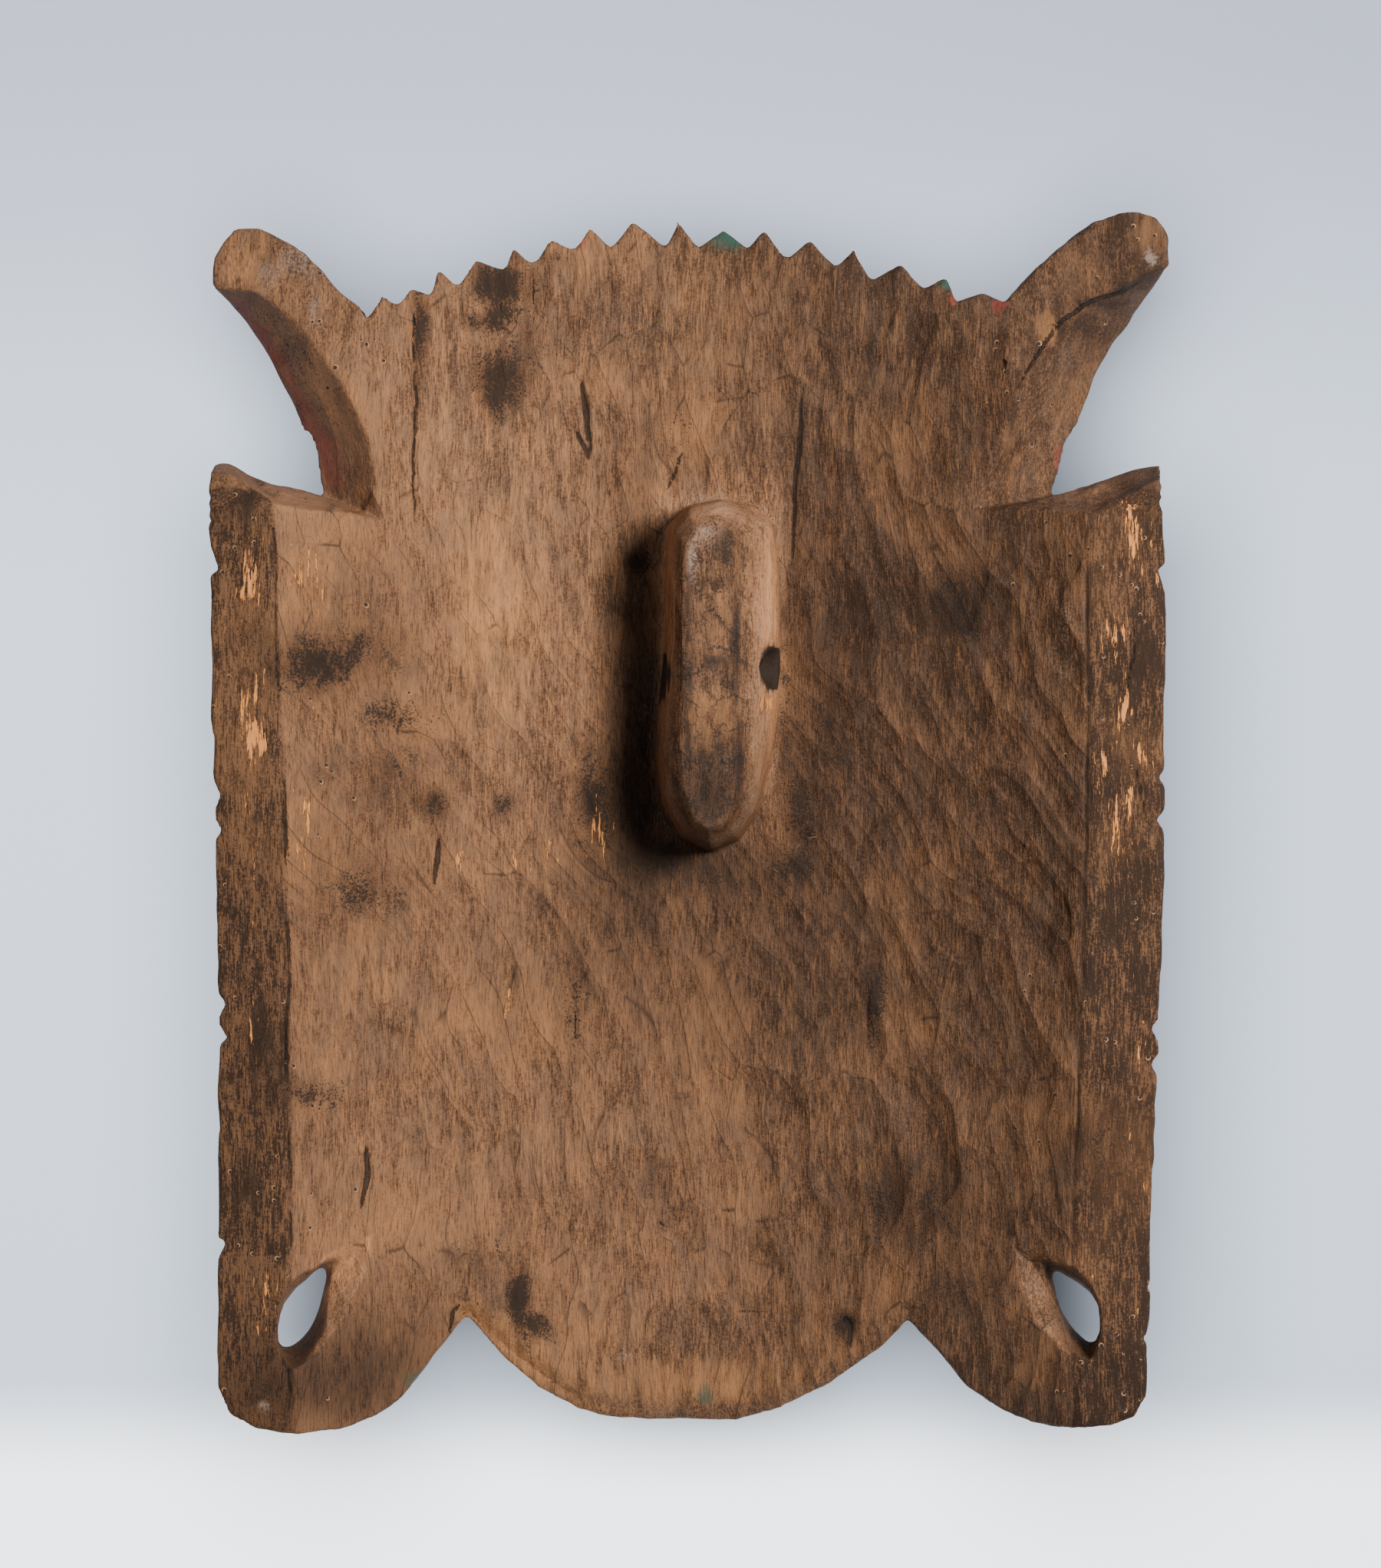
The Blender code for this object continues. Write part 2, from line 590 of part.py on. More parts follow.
def brow(name, side, collection):
    """A rounded brow that follows the forehead."""
    curve = bpy.data.curves.new(name, 'CURVE')
    curve.dimensions = '3D'
    curve.bevel_depth = BROW_RADIUS
    curve.bevel_resolution = 1
    curve.use_fill_caps = True
    line = smooth_line(BROW_LINE, 9)
    spline = curve.splines.new('POLY')
    spline.points.add(len(line) - 1)
    for k, (point, (u, v)) in enumerate(zip(spline.points, line)):
        level = float(face_surface(np.array(u), np.array(v))) + BROW_SINK
        point.co = (side * u * UNIT, v * UNIT, level, 1.0)
        point.radius = 0.45 + 0.55 * math.sin(math.pi * (0.15 + 0.75 * k / (len(line) - 1)))
    thing = bpy.data.objects.new(name + '_curve', curve)
    collection.objects.link(thing)
    bpy.context.view_layer.update()
    mesh = bpy.data.meshes.new_from_object(thing.evaluated_get(bpy.context.evaluated_depsgraph_get()))
    bpy.data.objects.remove(thing)
    work = bmesh.new()
    work.from_mesh(mesh)
    bpy.data.meshes.remove(mesh)
    return cutter(finished(name, work, collection))


def boss(name, place, collection):
    """A round boss on the head band, flat where the mask rests."""
    rings = []
    middle = 0.5 * (BAND_BOTTOM + BAND_TOP)
    ground = float(band_level(np.array(place), np.array(middle)))
    tip = max(ground - BOSS_HEIGHT, 0.0)
    for radius, share in BOSS_RINGS:
        level = tip + share * (ground + BOSS_ROOT - tip)
        ring = []
        for k in range(BOSS_SIDES):
            turn = 2.0 * math.pi * k / BOSS_SIDES
            u = place + radius * math.cos(turn)
            v = middle + radius * math.sin(turn)
            ring.append((u * UNIT, v * UNIT, level))
        rings.append(ring)
    return cutter(loft(name, rings, collection))


def face_forms(collection):
    """Nose, eyes, brows, lips and bosses, in the order in which they join the face."""
    forms = [nose(collection), swelling('lower_lip', 1, LOWER_LIP, collection)]
    for side, word in ((-1, 'left'), (1, 'right')):
        forms.append(swelling(word + '_nostril', side, NOSTRIL, collection, 12, 6))
        forms.append(swelling(word + '_eye', side, EYE, collection, 16, 8))
        forms.append(swelling(word + '_upper_lip', side, UPPER_LIP, collection, 12, 6))
        forms.append(brow(word + '_brow', side, collection))
    for number, place in enumerate(BOSS_PLACES, 1):
        forms.append(boss(f'boss_{number}', place, collection))
    return forms


def carve(body, tool, operation='DIFFERENCE'):
    step = body.modifiers.new(tool.name, 'BOOLEAN')
    step.operation = operation
    step.solver = 'EXACT'
    step.object = tool


def wood():
    material = bpy.data.materials.new('old_wood')
    material.use_nodes = True
    shader = material.node_tree.nodes['Principled BSDF']
    shader.inputs['Base Color'].default_value = WOOD_COLOUR
    shader.inputs['Roughness'].default_value = WOOD_ROUGHNESS
    shader.inputs['Metallic'].default_value = 0.0
    return material


def main():
    for thing in list(bpy.data.objects):
        bpy.data.objects.remove(thing)
    parts = bpy.data.collections.new('carved_mask')
    tools = bpy.data.collections.new('cutters')
    for collection in (parts, tools):
        bpy.context.scene.collection.children.link(collection)
    body = blank(parts)
    body.data.materials.append(wood())
    carve(body, back_cutter(tools))
    carve(body, front_cutter(tools))
    carve(body, gap_cutter('left_gap_cut', LEFT_HORN_FRONT, LEFT_HORN_BACK,
                           LEFT_SHOULDER_FRONT, LEFT_SHOULDER_BACK, tools))
    carve(body, gap_cutter('right_gap_cut', RIGHT_HORN_FRONT, RIGHT_HORN_BACK,
                           RIGHT_SHOULDER_FRONT, RIGHT_SHOULDER_BACK, tools))
    carve(body, hole_cutter('left_hole_cut', LEFT_HOLE_BACK, LEFT_HOLE_FRONT, tools))
    carve(body, hole_cutter('right_hole_cut', RIGHT_HOLE_BACK, RIGHT_HOLE_FRONT, tools))
    carve(body, bevel_cutter(tools))
    for form in face_forms(tools):
        carve(body, form, 'UNION')
    carve(body, lug(tools), 'UNION')
    carve(body, lug_hole(tools))


main()
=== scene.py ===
"""An old carved wooden mask with horns, lying on its face with the hollow back up.

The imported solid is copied, remeshed finely, carved with tool marks, cracks and wear,
and gets one wood finish with worn paint on the front. Lengths are metres, and the
places in the lists below are pixels of the 1800 by 2044 photograph.
"""

import math

import bmesh
import bpy
import numpy as np
from bpy.props import FloatProperty, FloatVectorProperty, IntProperty, PointerProperty
from bpy.types import Operator, Panel, PropertyGroup
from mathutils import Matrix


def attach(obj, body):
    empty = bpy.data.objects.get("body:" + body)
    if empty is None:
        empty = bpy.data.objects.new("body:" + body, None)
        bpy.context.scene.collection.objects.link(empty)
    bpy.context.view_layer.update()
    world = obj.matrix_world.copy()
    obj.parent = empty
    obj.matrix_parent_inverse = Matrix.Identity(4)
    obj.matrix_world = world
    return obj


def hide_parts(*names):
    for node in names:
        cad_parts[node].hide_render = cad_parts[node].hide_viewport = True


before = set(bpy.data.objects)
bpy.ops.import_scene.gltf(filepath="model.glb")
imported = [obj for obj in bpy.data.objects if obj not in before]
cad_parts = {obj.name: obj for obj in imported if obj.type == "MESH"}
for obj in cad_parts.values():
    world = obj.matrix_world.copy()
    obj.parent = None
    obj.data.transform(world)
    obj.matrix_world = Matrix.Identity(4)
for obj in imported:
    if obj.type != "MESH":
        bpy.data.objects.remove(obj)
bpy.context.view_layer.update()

bl_info = {
    "name": "Carved wooden mask",
    "version": (1, 0, 0),
    "blender": (4, 5, 0),
    "location": "3D View > Sidebar > Mask",
    "description": "Carves and finishes an old wooden mask around its packed solid",
    "category": "Object",
}

# The camera, whose scale and place turn a pixel into a place on the wood. The scale holds at SCALE_LEVEL.
PHOTO_WIDTH = 1800
PHOTO_HEIGHT = 2044
METRES_PER_PIXEL = 0.00040053
SCALE_LEVEL = 0.1062
CAMERA_ABOVE = 3.081
CAMERA_PLACE = (0.00042, 0.01836)
CAMERA_LENS = 153.85
SENSOR = 36.0

# The back of the mask, as in the solid. Ridges, lug and horns are in thousandths of the height.
HEIGHT = 0.632
UNIT = HEIGHT / 1000.0
FLANGE_LEVEL = 0.160
HOLLOW_DEPTH = 0.070
HOLLOW_SHAPE = 0.62
LEFT_RIDGE = [(-520, 323), (-296, 325), (-20, 328), (240, 338)]
RIGHT_RIDGE = [(-520, 311), (-296, 312), (-20, 323), (240, 323)]
CREASE_TOP = 0.150
LUG_MIDDLE = (22, 119)
LUG_RADII = (52, 150)
LUG_TOP = 0.157
# The worn rim of the chin in pixels, its width and its drop in metres
CHIN_RIM = [(608, 1718), (684, 1789), (740, 1828), (816, 1848), (969, 1846), (1032, 1828), (1108, 1786),
            (1178, 1721)]
RIM_WIDTH = 0.0075
RIM_DROP = 0.0042
# The lug's cross hole: its level, and for each side its sense, middle, half length, place and depth
HOLE_LEVEL = 0.117
HOLE_NOTCHES = [(1, 0.0784, 0.0120, 0.0360, 0.010), (-1, 0.0752, 0.0165, 0.0125, 0.008)]
# The bevels of the two ear holes in pixels, and how steeply they fall
EAR_BEVELS = [
    [(1320, 1622), (1385, 1634), (1420, 1682), (1432, 1735), (1424, 1776), (1385, 1762), (1345, 1722),
     (1325, 1672)],
    [(487, 1608), (479, 1645), (466, 1685), (447, 1725), (419, 1759), (385, 1781), (369, 1756), (369, 1713),
     (385, 1668), (424, 1634)],
]
BEVEL_SLOPE = 1.1
HORN_START = 262

# Widths and depths of the fine carving, in metres
CRACK_WIDTH = 0.0009
CRACK_STAIN_WIDTH = 0.0010
CREASE_WIDTH = 0.0015
CREASE_DEPTH = 0.0011
CREASE_STAIN_WIDTH = 0.0013
RIM_LINE_WIDTH = 0.0010

# Cracks as points in pixels, then the half width and depth in millimetres
CRACKS = [
    ([(541, 385), (539, 450), (543, 520), (538, 600), (542, 700)], 0.9, 1.6),
    ([(757, 490), (764, 540), (770, 596)], 1.6, 3.0), ([(752, 560), (768, 600)], 1.2, 2.0),
    ([(1047, 500), (1043, 560), (1036, 640), (1032, 745)], 1.2, 2.2),
    ([(890, 585), (882, 612), (870, 640)], 1.0, 1.6), ([(573, 1090), (569, 1120), (566, 1155)], 1.5, 2.6),
    ([(752, 1290), (748, 1370)], 0.8, 1.2), ([(1137, 1275), (1131, 1310), (1129, 1370)], 0.9, 1.4),
    ([(477, 1490), (480, 1530), (470, 1580)], 1.4, 2.4),
    ([(600, 1700), (590, 1712), (585, 1740)], 1.0, 2.0),
    ([(1098, 1715), (1110, 1732), (1106, 1760)], 1.6, 2.2), ([(603, 372), (605, 430)], 0.6, 1.2),
    ([(695, 345), (697, 430)], 0.6, 1.4), ([(857, 320), (860, 400)], 0.5, 1.0),
    ([(800, 335), (797, 400)], 0.5, 1.0), ([(1000, 345), (1004, 400)], 0.5, 0.9),
    ([(655, 372), (652, 420)], 0.5, 1.0), ([(1120, 372), (1118, 430)], 0.5, 0.9),
    ([(1205, 395), (1200, 440)], 0.5, 0.9),
    ([(1512, 345), (1470, 372), (1427, 386), (1387, 414), (1350, 465), (1316, 522)], 1.3, 1.7),
    ([(1482, 800), (1476, 860), (1466, 930)], 0.7, 1.2),
    ([(1478, 985), (1487, 1030), (1492, 1065)], 0.7, 1.4),
]
NICKS = [
    ([(1000, 1540), (1022, 1534)], 0.9, 1.0), ([(938, 1580), (960, 1578)], 0.8, 0.8),
    ([(858, 1590), (868, 1600)], 1.0, 1.2), ([(950, 1710), (1006, 1709)], 0.8, 0.9),
    ([(735, 1548), (760, 1570)], 0.7, 0.8), ([(700, 1740), (745, 1760)], 0.7, 0.8),
    ([(870, 1575), (886, 1592)], 0.9, 1.0), ([(1210, 1590), (1236, 1580)], 0.7, 0.8),
]
KNOTS = [
    (563, 1049, 11, 15, 2.4), (655, 1049, 9, 12, 1.2), (561, 1088, 5, 6, 1.4), (503, 1015, 6, 7, 1.2),
    (696, 1010, 5, 7, 0.9), (827, 734, 12, 8, 0.8), (1104, 1725, 9, 12, 1.6), (596, 1693, 8, 7, 1.8),
    (1182, 1708, 10, 8, 1.4),
]

# Stains, worn and bare places: pixel place, radii in pixels, strength
SOOT = [
    (655, 374, 36, 30, 0.95), (640, 418, 28, 15, 0.9), (650, 495, 30, 40, 1.0), (548, 425, 10, 60, 0.8),
    (722, 338, 12, 9, 0.6), (690, 460, 30, 60, 0.35), (410, 868, 48, 30, 0.85), (470, 850, 60, 40, 0.45),
    (520, 935, 60, 26, 0.5), (500, 1010, 60, 50, 0.35), (772, 1046, 24, 58, 0.75), (760, 985, 18, 30, 0.5),
    (564, 1049, 20, 22, 0.7), (655, 1049, 16, 18, 0.5), (827, 734, 18, 14, 0.9), (480, 1160, 60, 36, 0.45),
    (400, 1430, 70, 22, 0.5), (340, 1360, 26, 60, 0.5), (1250, 790, 46, 40, 0.7), (1300, 735, 40, 30, 0.3),
    (1044, 1058, 36, 60, 0.5), (1034, 1133, 30, 26, 0.7), (1085, 955, 22, 50, 0.5),
    (1022, 905, 14, 150, 0.45), (1100, 860, 40, 90, 0.3), (676, 1690, 12, 40, 0.95),
    (694, 1728, 20, 22, 0.8), (1102, 1727, 18, 20, 0.8), (1140, 1300, 14, 60, 0.7),
    (1185, 1570, 80, 60, 0.5), (752, 1300, 22, 70, 0.4), (870, 1545, 60, 50, 0.25),
    (1260, 1680, 60, 30, 0.4), (640, 1630, 60, 36, 0.3), (430, 1010, 26, 20, 0.35), (320, 830, 26, 30, 0.4),
    (318, 650, 28, 40, 0.5), (1470, 940, 20, 60, 0.3), (1490, 660, 22, 40, 0.4), (1440, 1500, 60, 70, 0.35),
    (1120, 1180, 80, 50, 0.2), (880, 560, 30, 70, 0.3), (1200, 1000, 70, 40, 0.2),
    (320, 1560, 26, 60, 0.35), (360, 1820, 60, 24, 0.35), (905, 1150, 120, 26, 0.35),
    (870, 1120, 30, 30, 0.6), (380, 480, 30, 90, 0.35), (1478, 364, 26, 7, 0.5), (1425, 390, 24, 8, 0.55),
    (1385, 420, 16, 9, 0.5), (1352, 462, 10, 26, 0.45), (1322, 540, 9, 40, 0.4), (345, 330, 14, 18, 0.4),
]
RUBBED = [
    (640, 800, 70, 190, 0.8), (560, 620, 90, 120, 0.4), (480, 700, 50, 40, 0.5), (400, 760, 46, 80, 0.7),
    (420, 1130, 60, 90, 0.5), (700, 1120, 90, 70, 0.5), (560, 560, 30, 80, 0.5), (600, 330, 50, 40, 0.3),
    (760, 350, 14, 60, 0.8), (520, 420, 60, 60, 0.3), (1000, 460, 70, 60, 0.3), (1180, 470, 90, 80, 0.35),
    (1240, 620, 70, 90, 0.3), (1330, 780, 30, 120, 0.4), (1330, 1150, 30, 160, 0.3),
    (880, 1180, 90, 40, 0.3), (940, 1330, 60, 120, 0.35), (760, 1430, 70, 90, 0.35),
    (900, 1800, 200, 40, 0.8), (700, 1790, 70, 40, 0.8), (640, 1745, 40, 50, 0.9),
    (1080, 1760, 70, 40, 0.6), (470, 1250, 60, 100, 0.6), (600, 1540, 40, 160, 0.35),
    (520, 1600, 60, 60, 0.3), (320, 330, 40, 40, 0.8), (400, 390, 40, 40, 0.4), (1500, 300, 30, 40, 0.8),
    (1420, 420, 50, 60, 0.3), (440, 1440, 60, 50, 0.3), (930, 1020, 30, 60, 0.5),
    (1290, 1500, 40, 90, 0.25), (330, 700, 30, 60, 0.5), (1368, 424, 16, 22, 1.2), (1320, 590, 20, 60, 0.6),
    (1500, 300, 24, 30, 0.8),
]
BARE = [
    (325, 760, 22, 60, 1.0), (330, 950, 24, 110, 1.0), (346, 700, 14, 30, 0.8), (335, 1640, 16, 50, 0.6),
    (1478, 700, 22, 70, 1.0), (1452, 830, 26, 50, 0.9), (1462, 920, 20, 70, 0.9), (1436, 1000, 14, 50, 0.9),
    (1490, 990, 20, 36, 1.0), (1465, 1080, 22, 80, 1.0), (1490, 700, 34, 60, 0.8), (1510, 720, 12, 60, 0.8),
    (1500, 1160, 30, 40, 0.5), (1480, 1270, 40, 60, 0.5), (660, 1290, 8, 80, 0.9), (745, 340, 8, 60, 0.8),
    (788, 1100, 14, 60, 0.6), (1500, 1440, 16, 60, 0.4), (420, 740, 8, 50, 0.8), (400, 790, 10, 30, 0.5),
    (376, 1170, 12, 40, 0.7), (400, 760, 34, 70, 0.85), (395, 1080, 40, 90, 0.78),
    (700, 1120, 60, 60, 0.76), (780, 1080, 24, 80, 0.82), (415, 960, 24, 50, 0.7),
    (600, 1110, 50, 60, 0.66), (520, 620, 60, 60, 0.55), (700, 520, 60, 80, 0.55),
    (330, 1150, 20, 120, 0.75), (330, 1350, 20, 100, 0.7), (345, 1700, 26, 90, 0.76),
    (1485, 1350, 22, 140, 0.75), (1480, 1520, 24, 100, 0.7), (1420, 1700, 20, 100, 0.65),
    (1500, 1700, 20, 60, 0.7), (640, 1480, 20, 60, 0.35), (1440, 1650, 40, 80, 0.3),
    (310, 1240, 26, 120, 0.3), (560, 1180, 60, 80, 0.25), (480, 1100, 60, 60, 0.3),
    (330, 1450, 30, 100, 0.3),
]
LUG_SOOT = [
    (948, 722, 16, 28, 0.75), (930, 764, 34, 8, 0.7), (897, 835, 5, 80, 0.75), (959, 830, 5, 90, 0.7),
    (930, 868, 30, 7, 0.6), (896, 950, 5, 60, 0.65), (925, 1040, 34, 34, 0.5), (935, 1085, 46, 18, 0.45),
    (962, 1000, 6, 60, 0.65), (912, 985, 40, 6, 0.55), (885, 690, 16, 26, 0.35), (930, 810, 26, 30, 0.35),
]
LUG_RUBBED = [
    (930, 940, 34, 44, 1.0), (932, 800, 24, 40, 0.6), (1003, 780, 20, 120, 0.6), (985, 1000, 16, 60, 0.6),
    (938, 664, 50, 20, 0.5), (872, 800, 14, 100, 0.5),
]
LUG_BARE = [(1003, 918, 12, 18, 1.3)]
FUZZ = [(1044, 1058, 30, 60, 1.0)]
SPOT_FALL = 0.7
RED_TRACES = [
    (1241, 390, 6, 10, 0.9), (1305, 396, 12, 6, 0.9), (1390, 600, 8, 30, 0.7), (757, 316, 7, 9, 0.8),
    (660, 328, 8, 7, 0.7),
]
GREEN_TRACES = [
    (1234, 369, 8, 8, 1.0), (500, 376, 9, 7, 0.8), (948, 312, 22, 12, 1.0), (920, 1822, 9, 10, 0.7),
    (545, 1800, 16, 10, 0.6),
]
PALE_DUST = [
    (900, 350, 60, 40, 0.3), (1130, 700, 50, 60, 0.25), (1385, 820, 30, 60, 0.5), (880, 1270, 60, 50, 0.3),
    (1170, 1480, 50, 60, 0.3), (700, 1600, 80, 60, 0.3), (420, 600, 60, 30, 0.4), (520, 610, 50, 40, 0.3),
    (902, 735, 8, 44, 0.85), (915, 700, 20, 10, 0.75), (870, 800, 12, 150, 0.55),
    (1004, 770, 16, 170, 0.45), (935, 662, 60, 18, 0.7), (1508, 328, 9, 10, 1.2), (345, 1835, 7, 8, 1.2),
    (350, 350, 20, 26, 0.7), (405, 400, 12, 50, 0.6), (1425, 450, 50, 60, 0.34), (1385, 545, 46, 80, 0.3),
    (925, 700, 30, 30, 0.6), (1180, 1560, 60, 40, 0.2), (380, 330, 40, 40, 0.6), (820, 1490, 60, 40, 0.3),
    (600, 930, 40, 60, 0.2), (812, 1765, 10, 10, 0.8),
]

# Broad light and dark of the old surface, in doublings of brightness. Many spots are the wood's own tone, but
# some are painted light and shade: the lug's cast shadow painted to its left and just below it, painted light
# on the lug's lower end and left foot where they face away from the key light, the lug's right side lightened
# where the key strikes it, and the hollow right of the lug darkened, partly as painted shade.
PATINA_AND_PAINTED_LIGHT = [
    (470, 800, 60, 110, -0.25), (450, 1130, 90, 80, -0.35), (560, 980, 60, 60, -0.2),
    (790, 1130, 50, 80, -0.45), (660, 900, 60, 160, 0.15), (925, 1015, 40, 72, -1.4),
    (410, 865, 44, 34, -0.9), (470, 850, 50, 30, -0.3), (400, 1250, 30, 60, -0.2),
    (836, 900, 30, 200, -1.7), (826, 1060, 36, 70, -1.1), (905, 1125, 70, 22, -0.8),
    (1120, 880, 90, 230, -0.35), (1064, 870, 34, 190, -0.4), (910, 1230, 200, 130, -0.72),
    (430, 1780, 110, 70, -0.7), (1440, 420, 90, 150, -0.5), (1250, 1050, 120, 380, -0.2),
    (700, 900, 120, 320, 0.12), (640, 620, 130, 200, 0.15), (1000, 640, 30, 30, 0.3),
    (1006, 760, 14, 130, 0.5), (1006, 960, 14, 120, 0.5), (1000, 800, 20, 120, 0.5),
    (930, 1088, 60, 24, 0.25), (866, 1040, 16, 60, 0.8), (880, 1010, 20, 70, -0.3),
    (1400, 1660, 30, 24, 0.5), (1420, 640, 90, 20, 0.6), (380, 645, 90, 22, 0.4),
    (1375, 480, 50, 110, 0.35), (1006, 860, 22, 200, 0.35), (868, 840, 14, 190, 1.1),
    (930, 664, 60, 24, 0.9), (600, 480, 90, 160, 0.25), (430, 1810, 120, 50, -1.0),
    (540, 1740, 70, 60, -0.35), (1380, 1820, 130, 60, -0.5), (320, 1500, 60, 250, -0.2),
    (1480, 1500, 60, 250, -0.2),
]

# Places of the front's paint, in thousandths of the height as in the solid
BOSS_PLACES = (-168, -84, 0, 84, 168)
BAND_MIDDLE = 235
BAND_HALF = 27
BAND_REACH = 262
BOSS_RADIUS = 30
CREST_START = 266
FLUTE_WIDTH = 33
EYE_PLACE = (104, -46)
EYE_RADII = (54, 27)
PUPIL_RADIUS = 17
MOUTH_PLACE = (0, -286)
MOUTH_RADII = (78, 36)
BROW_LINE = [(26, 12), (62, 40), (108, 54), (156, 44), (196, 10)]
BROW_HALF = 15
EAR_BANDS = (5, -164, 214)
EAR_BAND_HALF = 14
EAR_START = 275

# The stage, in metres
FLOOR_HALF = 6.0
AIM = (0.0, 0.0, 0.11)
KEY_REACH = 2.6
KEY_TURN = math.radians(22.0)
KEY_SIZE = 0.85
FILL_PLACE = (-1.5, 1.0, 2.4)
FILL_SIZE = 2.2
WASH_PLACE = (-0.2, 0.2, 2.7)
WASH_SIZE = 2.6
ROOM_COLOUR = (0.93, 0.95, 1.0, 1.0)


def length(name, description, default, **limits):
    return FloatProperty(name=name, description=description, default=default, unit='LENGTH', **limits)


def power(name, description, default):
    return FloatProperty(name=name, description=description, default=default, subtype='POWER')


def colour_property(name, description, value):
    return FloatVectorProperty(name=name, description=description, default=value,
                               size=3, min=0.0, max=1.0, subtype='COLOR')


class MaskSizes(PropertyGroup):
    """Sizes of the carving and of the small things on it."""
    voxel: length("Voxel size", "Fineness of the carved surface", 0.0016, min=0.001, max=0.01)
    triangles: IntProperty(
        name="Triangles", description="Most triangles that the carved wood keeps",
        default=190000, min=20000, max=198000)
    gouge_width: length("Gouge width", "Width of one gouge stroke", 0.0150)
    gouge_length: length("Gouge length", "Length of one gouge stroke", 0.044)
    gouge_depth: length("Gouge depth", "Depth of the deepest gouge strokes", 0.0011)
    stroke_shift: length("Stroke slant", "How far the strokes drift sideways from top to bottom", 0.090)
    stroke_reach: length("Slant reach", "Distance from the middle over which the strokes slant", 0.130)
    hole_width: length("Beetle hole", "Width of one beetle's flight hole", 0.0018)
    hole_density: FloatProperty(
        name="Holes per square metre", description="Flight holes where the wood is most eaten",
        default=4200.0)
    fibre_length: length("Fibre length", "Length of a loose fibre", 0.006)
    fibre_density: FloatProperty(
        name="Fibres per square metre", description="Loose fibres where the wood is roughest",
        default=30000.0)


class MaskFinish(PropertyGroup):
    """Colours of the wood, its stains and its paint."""
    tan: colour_property("Tan wood", "Lightest of the old wood", (0.250, 0.118, 0.055))
    brown: colour_property("Brown wood", "Darkest of the old wood", (0.048, 0.023, 0.0115))
    grey: colour_property("Grey film", "Dust and weathering in the fibres", (0.098, 0.066, 0.047))
    rubbed: colour_property("Rubbed wood", "Orange-tan where hands rubbed the wood", (0.360, 0.165, 0.064))
    bare: colour_property("Bare wood", "Fresh wood where the surface flaked off", (0.600, 0.240, 0.070))
    # The soot colour also paints shade at the gouge edges, in the lug's cross hole and in the beetle holes
    soot: colour_property("Soot", "Black-brown stains", (0.014, 0.010, 0.008))
    dust: colour_property("Pale dust", "Pale bloom and old lime", (0.300, 0.225, 0.180))
    red: colour_property("Red paint", "Worn red paint of the front", (0.200, 0.030, 0.022))
    green: colour_property("Green paint", "Worn green paint of the front", (0.022, 0.070, 0.050))
    white: colour_property("White paint", "Worn lime white of the front", (0.400, 0.350, 0.280))
    black: colour_property("Black paint", "Worn black of brows and pupils", (0.015, 0.013, 0.011))


class StageSettings(PropertyGroup):
    """Floor and lights."""
    # The floor is coloured darker above the mask than beside it, a painted falloff of light, and pale in a band
    # below
    floor_top: colour_property("Floor above", "Floor colour above the mask", (0.185, 0.205, 0.255))
    floor_middle: colour_property("Floor beside", "Floor colour beside the mask", (0.315, 0.360, 0.425))
    floor_low: colour_property("Floor below", "Floor colour below the mask", (0.82, 0.86, 0.88))
    key_power: power("Key light", "Power of the key light", 150.0)
    fill_power: power("Fill light", "Power of the soft fill", 16.0)
    wash_power: power("Floor wash", "Power of the soft light that reaches the floor alone", 350.0)
    room: FloatProperty(name="Room light", description="Strength of the even room light", default=0.16)
    key_angle: FloatProperty(
        name="Key angle", description="Tilt of the key light from straight above",
        default=math.radians(33.0), subtype='ANGLE')


# How strongly each layer of the wood's finish covers what is below it; the stroke edges, the small edges and
# the lug hole's dark mouths are painted shade
COVER = {
    'rubbed': 0.65, 'grey': 0.46, 'patches': 0.22, 'dark fibres': 0.50, 'light fibres': 0.34, 'dashes': 0.40,
    'smoke': 0.38, 'soot': 0.84, 'dust': 0.6, 'stroke edges': 0.62, 'small edges': 0.36, 'cracks': 0.85,
    'crackle': 0.80, 'painted hole shade': 0.97, 'green trace': 0.9, 'red trace': 0.6, 'dirt': 0.50,
}
PAINT_AMOUNTS = {'red': 0.62, 'green': 0.62, 'white': 0.60, 'black': 0.56}


